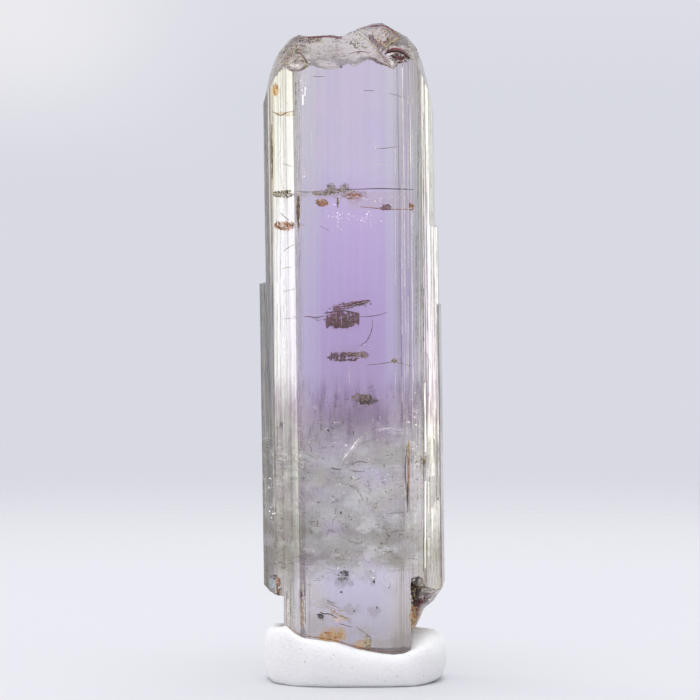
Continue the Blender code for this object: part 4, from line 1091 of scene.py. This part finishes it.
# Stained skins under the broken faces: mineral, x range, height range, share covered, grain.
CRUSTS = [
    ("beige_crust", (-5.3, -2.5), (33.6, 36.2), -0.26, 2.2),
    ("black_brown", (3.15, 4.05), (4.3, 6.0), 0.12, 3.0),
    ("red_brown", (3.35, 4.55), (3.8, 5.0), 0.28, 3.0),
    ("olive_brown", (3.8, 4.9), (4.4, 5.4), 0.02, 3.5),
    ("brass", (3.15, 4.1), (2.4, 4.2), 0.25, 5.0),
    ("beige_crust", (3.15, 4.2), (2.4, 5.4), -0.25, 7.0),
    ("rust", (-4.75, -3.9), (4.6, 5.9), -0.12, 4.0),
    ("red_brown", (-4.9, -3.9), (4.7, 6.2), -0.22, 4.0),
    ("teal_film", (-4.9, -4.1), (4.7, 5.6), -0.38, 5.0),
]
CRUST_DEPTH = 0.03          # how deep the first crust lies under the skin
CRUST_STEP = 0.004          # how much deeper each one after it lies
CRUST_THICKNESS = 0.015


def build_crusts(crystal, forms):
    """Copies of the broken faces just inside the skin, worn through in a ragged pattern."""
    for index, (name, (x_low, x_high), (z_low, z_high), cover, grain) in enumerate(CRUSTS):
        skin = bmesh.new()
        skin.from_mesh(crystal.data)
        broken = skin.faces.layers.float["broken"]
        away = []
        for face in skin.faces:
            spot = face.calc_center_median() / MM
            near = x_low < spot.x < x_high and z_low < spot.z < z_high and spot.y < 2.6
            if face[broken] < 0.5 or not near:
                away.append(face)
        bmesh.ops.delete(skin, geom=away, context="FACES")
        long_edges = [edge for edge in skin.edges if edge.calc_length() > 0.09 * MM]
        bmesh.ops.subdivide_edges(skin, edges=long_edges, cuts=2, use_grid_fill=True)
        gone = []
        for face in skin.faces:
            spot = face.calc_center_median() / MM * grain
            tone = noise.noise(spot + Vector((index * 4.1, 0.0, 0.0)))
            tone += 0.5 * noise.noise(spot * 3.0 + Vector((0.0, index * 2.7, 0.0)))
            if tone > cover:
                gone.append(face)
        bmesh.ops.delete(skin, geom=gone, context="FACES")
        skin.normal_update()
        push = [(vert, vert.normal.copy()) for vert in skin.verts]
        for vert, way in push:
            vert.co -= way * (CRUST_DEPTH + CRUST_STEP * index) * MM
        grown = bmesh.ops.extrude_face_region(skin, geom=skin.faces[:])
        for item in grown["geom"]:
            if isinstance(item, bmesh.types.BMVert):
                item.co -= item.normal * CRUST_THICKNESS * MM
        bmesh.ops.recalc_face_normals(skin, faces=skin.faces)
        pour(skin, forms[name])


# The crystal's cross-section in millimetres, in order round the prism, and its narrower foot.
SECTION = [
    (-5.14, 0.3), (-4.36, -1.8), (-3.12, -3.38), (2.62, -3.45), (3.95, -2.5), (4.78, -1.05),
    (4.93, 0.2), (4.22, 1.95), (2.85, 3.28), (-2.75, 3.36), (-4.3, 1.95),
]
FOOT_SHIFT = 0.25           # the crystal leans to the left, so its foot is this much further right
FOOT_LEFT = -3.84
FOOT_RIGHT = 3.20
FOOT_OVERLAP = 0.02         # how far the putty reaches into the foot


def foot_outline(angle):
    """The foot's outline in millimetres in the direction of an angle, from the pad's middle."""
    corners = [(min(FOOT_RIGHT, max(FOOT_LEFT, x + FOOT_SHIFT)), y) for x, y in SECTION]
    way = Vector((math.cos(angle), math.sin(angle)))
    best = 0.0
    for (x_a, y_a), (x_b, y_b) in zip(corners, corners[1:] + corners[:1]):
        along = Vector((x_b - x_a, y_b - y_a))
        cross = way.x * along.y - way.y * along.x
        if abs(cross) < 1e-9:
            continue
        reach = (x_a * along.y - y_a * along.x) / cross
        share = (x_a * way.y - y_a * way.x) / cross
        if reach > 0.0 and -1e-6 <= share <= 1.0 + 1e-6:
            best = max(best, reach)
    return way * (best - FOOT_OVERLAP)


PAD_CENTRE_X = 0.13
PAD_HALF = (5.02, 4.43)
PAD_SQUARENESS = 2.5
# Heights of the putty by x, in millimetres: beside the foot, along the lip in front, and behind.
PAD_SIDE_TOP = [(-4.0, 3.02), (2.8, 2.92), (4.2, 2.77)]
PAD_LIP = [
    (-4.6, 3.10), (-3.7, 3.32), (-3.2, 2.87), (-2.7, 2.67), (-1.8, 2.57), (-1.0, 2.45),
    (-0.3, 2.25), (0.3, 2.07), (0.8, 1.95), (1.5, 1.84), (2.3, 1.76), (2.8, 1.82), (3.3, 1.97),
    (4.2, 2.32),
]
PAD_BACK_TOP = [
    (-4.4, 2.6), (-3.0, 2.2), (-1.0, 1.85), (0.5, 1.75), (2.6, 1.7), (3.4, 2.0), (4.2, 2.2),
]
PAD_PROFILE = [
    # share of the way from the foot out to the widest line, share of the height
    (0.35, 0.0), (0.62, 0.0), (0.78, 0.03), (0.90, 0.12), (0.97, 0.27), (1.0, 0.45),
    (0.985, 0.62), (0.93, 0.78), (0.82, 0.90), (0.66, 0.97), (0.46, 1.0), (0.26, 0.995),
    (0.10, 0.99), (0.0, 0.97), (-0.02, 0.70), (-0.04, 0.45),
]


def pad_top(x, y):
    """The height of the pad's upper side: a lip in front, highest at the sides, low behind."""
    lip = between(PAD_LIP, x)
    side = between(PAD_SIDE_TOP, x)
    front = lip + (side - lip) * ease(-3.4, -0.6, y)
    return front + (between(PAD_BACK_TOP, x) - side) * ease(0.9, 3.0, y)


def pad_place(angle, out, level):
    """A point of the pad: out goes from the foot to the rim, level from the floor to the top."""
    way = Vector((math.cos(angle), math.sin(angle)))
    power = PAD_SQUARENESS
    stretch = (abs(way.x) ** power + abs(way.y) ** power) ** (-1 / power)
    wobble = 1.0 + 0.03 * noise_at(2 * way.x, 2 * way.y, 0.45)
    outer = Vector((PAD_CENTRE_X + PAD_HALF[0] * stretch * wobble * way.x,
                    PAD_HALF[1] * stretch * wobble * way.y))
    spot = foot_outline(angle).lerp(outer, out)
    rise = level * pad_top(spot.x, spot.y)
    dent = noise_at(spot.x * 0.9, spot.y * 0.9, rise * 0.9)
    dent += 0.4 * noise_at(spot.x * 2.6, spot.y * 2.6, rise * 2.6)
    if 0.0 < out < 0.99 and level > 0.02:
        rise += 0.05 * dent
    return Vector((spot.x, spot.y, max(0.0, rise))) * MM


def build_putty(material):
    """The putty, pressed close round the crystal's foot: a tube of rings, capped, then shaped."""
    form = bmesh.new()
    bmesh.ops.create_circle(form, segments=220, radius=1.0)
    for ring in range(1, len(PAD_PROFILE)):
        edges = [edge for edge in form.edges
                 if all(round(vert.co.z) == ring - 1 for vert in edge.verts)]
        grown = bmesh.ops.extrude_edge_only(form, edges=edges)["geom"]
        fresh = [item for item in grown if isinstance(item, bmesh.types.BMVert)]
        bmesh.ops.translate(form, vec=(0.0, 0.0, 1.0), verts=fresh)
    bmesh.ops.holes_fill(form, edges=form.edges[:])
    for vert in form.verts:
        out, level = PAD_PROFILE[round(vert.co.z)]
        vert.co = pad_place(math.atan2(vert.co.y, vert.co.x), out, level)
    bmesh.ops.recalc_face_normals(form, faces=form.faces)
    for face in form.faces:
        face.smooth = True
    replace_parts(new_piece("putty_pad", form, material), "mounting_putty")


# The studio: camera, backdrop, side panels and floor

SENSOR_WIDTH = 36.0
VIEW_WIDTH = 38.89      # what the camera sees across at the crystal, in millimetres


def build_camera():
    """The photograph's viewing angle: level with the crystal and a little above it."""
    lens = bpy.data.cameras.new("camera")
    lens.sensor_width = SENSOR_WIDTH
    lens.lens = SENSOR_WIDTH * EYE_DISTANCE / VIEW_WIDTH
    camera = bpy.data.objects.new("camera", lens)
    camera.location = EYE * MM
    camera.rotation_euler = (math.pi / 2 - EYE_RISE, 0.0, 0.0)
    bpy.context.scene.collection.objects.link(camera)
    bpy.context.scene.camera = camera


# The surroundings: degrees round from straight behind the crystal, colour and brightness.
PANELS = [
    (-180, (0.95, 0.95, 0.96)), (-158, (0.90, 0.90, 0.91)), (-146, (0.40, 0.40, 0.42)),
    (-115, (0.45, 0.45, 0.48)), (-90, (0.50, 0.50, 0.53)), (-73, (0.40, 0.40, 0.42)),
    (-67, (2.45, 2.48, 2.28)), (-48, (2.45, 2.48, 2.28)), (-42, (0.40, 0.40, 0.42)),
    (-32, (0.42, 0.42, 0.45)), (-24, (0.70, 0.71, 0.78)), (24, (0.70, 0.71, 0.78)),
    (31, (1.46, 1.54, 1.38)), (56, (1.46, 1.54, 1.38)), (64, (0.22, 0.22, 0.25)),
    (86, (0.16, 0.16, 0.19)), (96, (0.45, 0.45, 0.48)), (120, (0.35, 0.35, 0.38)),
    (154, (0.28, 0.28, 0.30)), (166, (0.90, 0.90, 0.91)), (180, (0.95, 0.95, 0.96)),
]
OVERHEAD = (1.25, 1.25, 1.30)
BACKDROP = [
    # share of the backdrop's height, colour
    (0.0, (0.79, 0.79, 0.83)), (0.105, (0.80, 0.80, 0.84)), (0.155, (0.69, 0.695, 0.765)),
    (0.36, (0.69, 0.70, 0.77)), (0.44, (0.74, 0.74, 0.80)), (0.60, (0.72, 0.725, 0.785)),
]
PALE_CORNER = (0.83, 0.83, 0.86)


def build_surroundings():
    """A pale backdrop, with bright panels behind the crystal on both sides and a soft top light."""
    world = bpy.data.worlds.new("studio")
    world.use_nodes = True
    bpy.context.scene.world = world
    graph = Graph(world.node_tree)
    world.node_tree.nodes.clear()
    way = graph.add("ShaderNodeTexCoord").outputs["Generated"]
    x, y, z = graph.add("ShaderNodeSeparateXYZ", {"Vector": way}).outputs
    turn = graph.scaled(graph.math("ARCTAN2", x, y), 1.0 / math.tau, 0.5)
    panels = graph.ramp(turn, [((degrees + 180.0) / 360.0, colour) for degrees, colour in PANELS])
    light = graph.mix(graph.rise(z, 0.35, 0.85), panels, OVERHEAD)
    backdrop = graph.ramp(graph.scaled(z, 4.0, 0.5), BACKDROP)
    corner = graph.times(graph.rise(x, -0.012, -0.044), graph.rise(z, -0.048, -0.026))
    backdrop = graph.mix(corner, backdrop, PALE_CORNER)
    seen = graph.add("ShaderNodeLightPath").outputs["Is Camera Ray"]
    lit, shown = [graph.add("ShaderNodeBackground", {"Color": colour}).outputs[0]
                  for colour in (light, backdrop)]
    both = graph.add("ShaderNodeMixShader", {0: seen, 1: lit, 2: shown}).outputs[0]
    graph.add("ShaderNodeOutputWorld", {"Surface": both})


FLOOR_RADIUS = 0.13     # metres
FLOOR_FULL = 0.06       # metres from the middle to where the floor starts to fade


def build_floor():
    """A pale floor that fades into the backdrop."""
    form = bmesh.new()
    bmesh.ops.create_circle(form, cap_ends=True, segments=96, radius=FLOOR_RADIUS)
    mesh = bpy.data.meshes.new("floor")
    form.to_mesh(mesh)
    form.free()
    floor = bpy.data.objects.new("floor", mesh)
    bpy.context.scene.collection.objects.link(floor)
    made, graph, shader = new_material("pale_floor", (0.60, 0.60, 0.63), 0.45)
    place = graph.add("ShaderNodeTexCoord").outputs["Object"]
    fade = graph.rise(graph.length(place), FLOOR_RADIUS, FLOOR_FULL)
    graph.feed(shader.inputs["Alpha"], fade)
    mesh.materials.append(made)


LAMP_FORWARD = 0.1      # metres in front of the crystal
LAMP_HEIGHT = 0.6       # metres above the floor


def build_top_light():
    """One broad lamp above and in front."""
    lamp = bpy.data.lights.new("top_light", "AREA")
    lamp.shape = "SQUARE"
    lamp.size = 0.4
    lamp.energy = 1.7
    holder = bpy.data.objects.new("top_light", lamp)
    holder.location = (0.0, -LAMP_FORWARD, LAMP_HEIGHT)
    holder.rotation_euler = (-math.atan2(LAMP_FORWARD, LAMP_HEIGHT), 0.0, 0.0)
    bpy.context.scene.collection.objects.link(holder)


def main():
    """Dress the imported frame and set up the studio."""
    scene = bpy.context.scene
    scene.view_settings.view_transform = "Standard"
    scene.cycles.max_bounces = 24
    scene.cycles.transmission_bounces = 20
    scene.cycles.glossy_bounces = 8
    specks = speck_group()
    patches = patch_group()
    crystal = build_crystal(tanzanite(specks))
    paints = {name: mineral(name, patches, *values) for name, values in MINERALS.items()}
    build_inclusions(crystal, paints)
    build_putty(white_putty(specks))
    build_camera()
    build_surroundings()
    build_floor()
    build_top_light()


main()
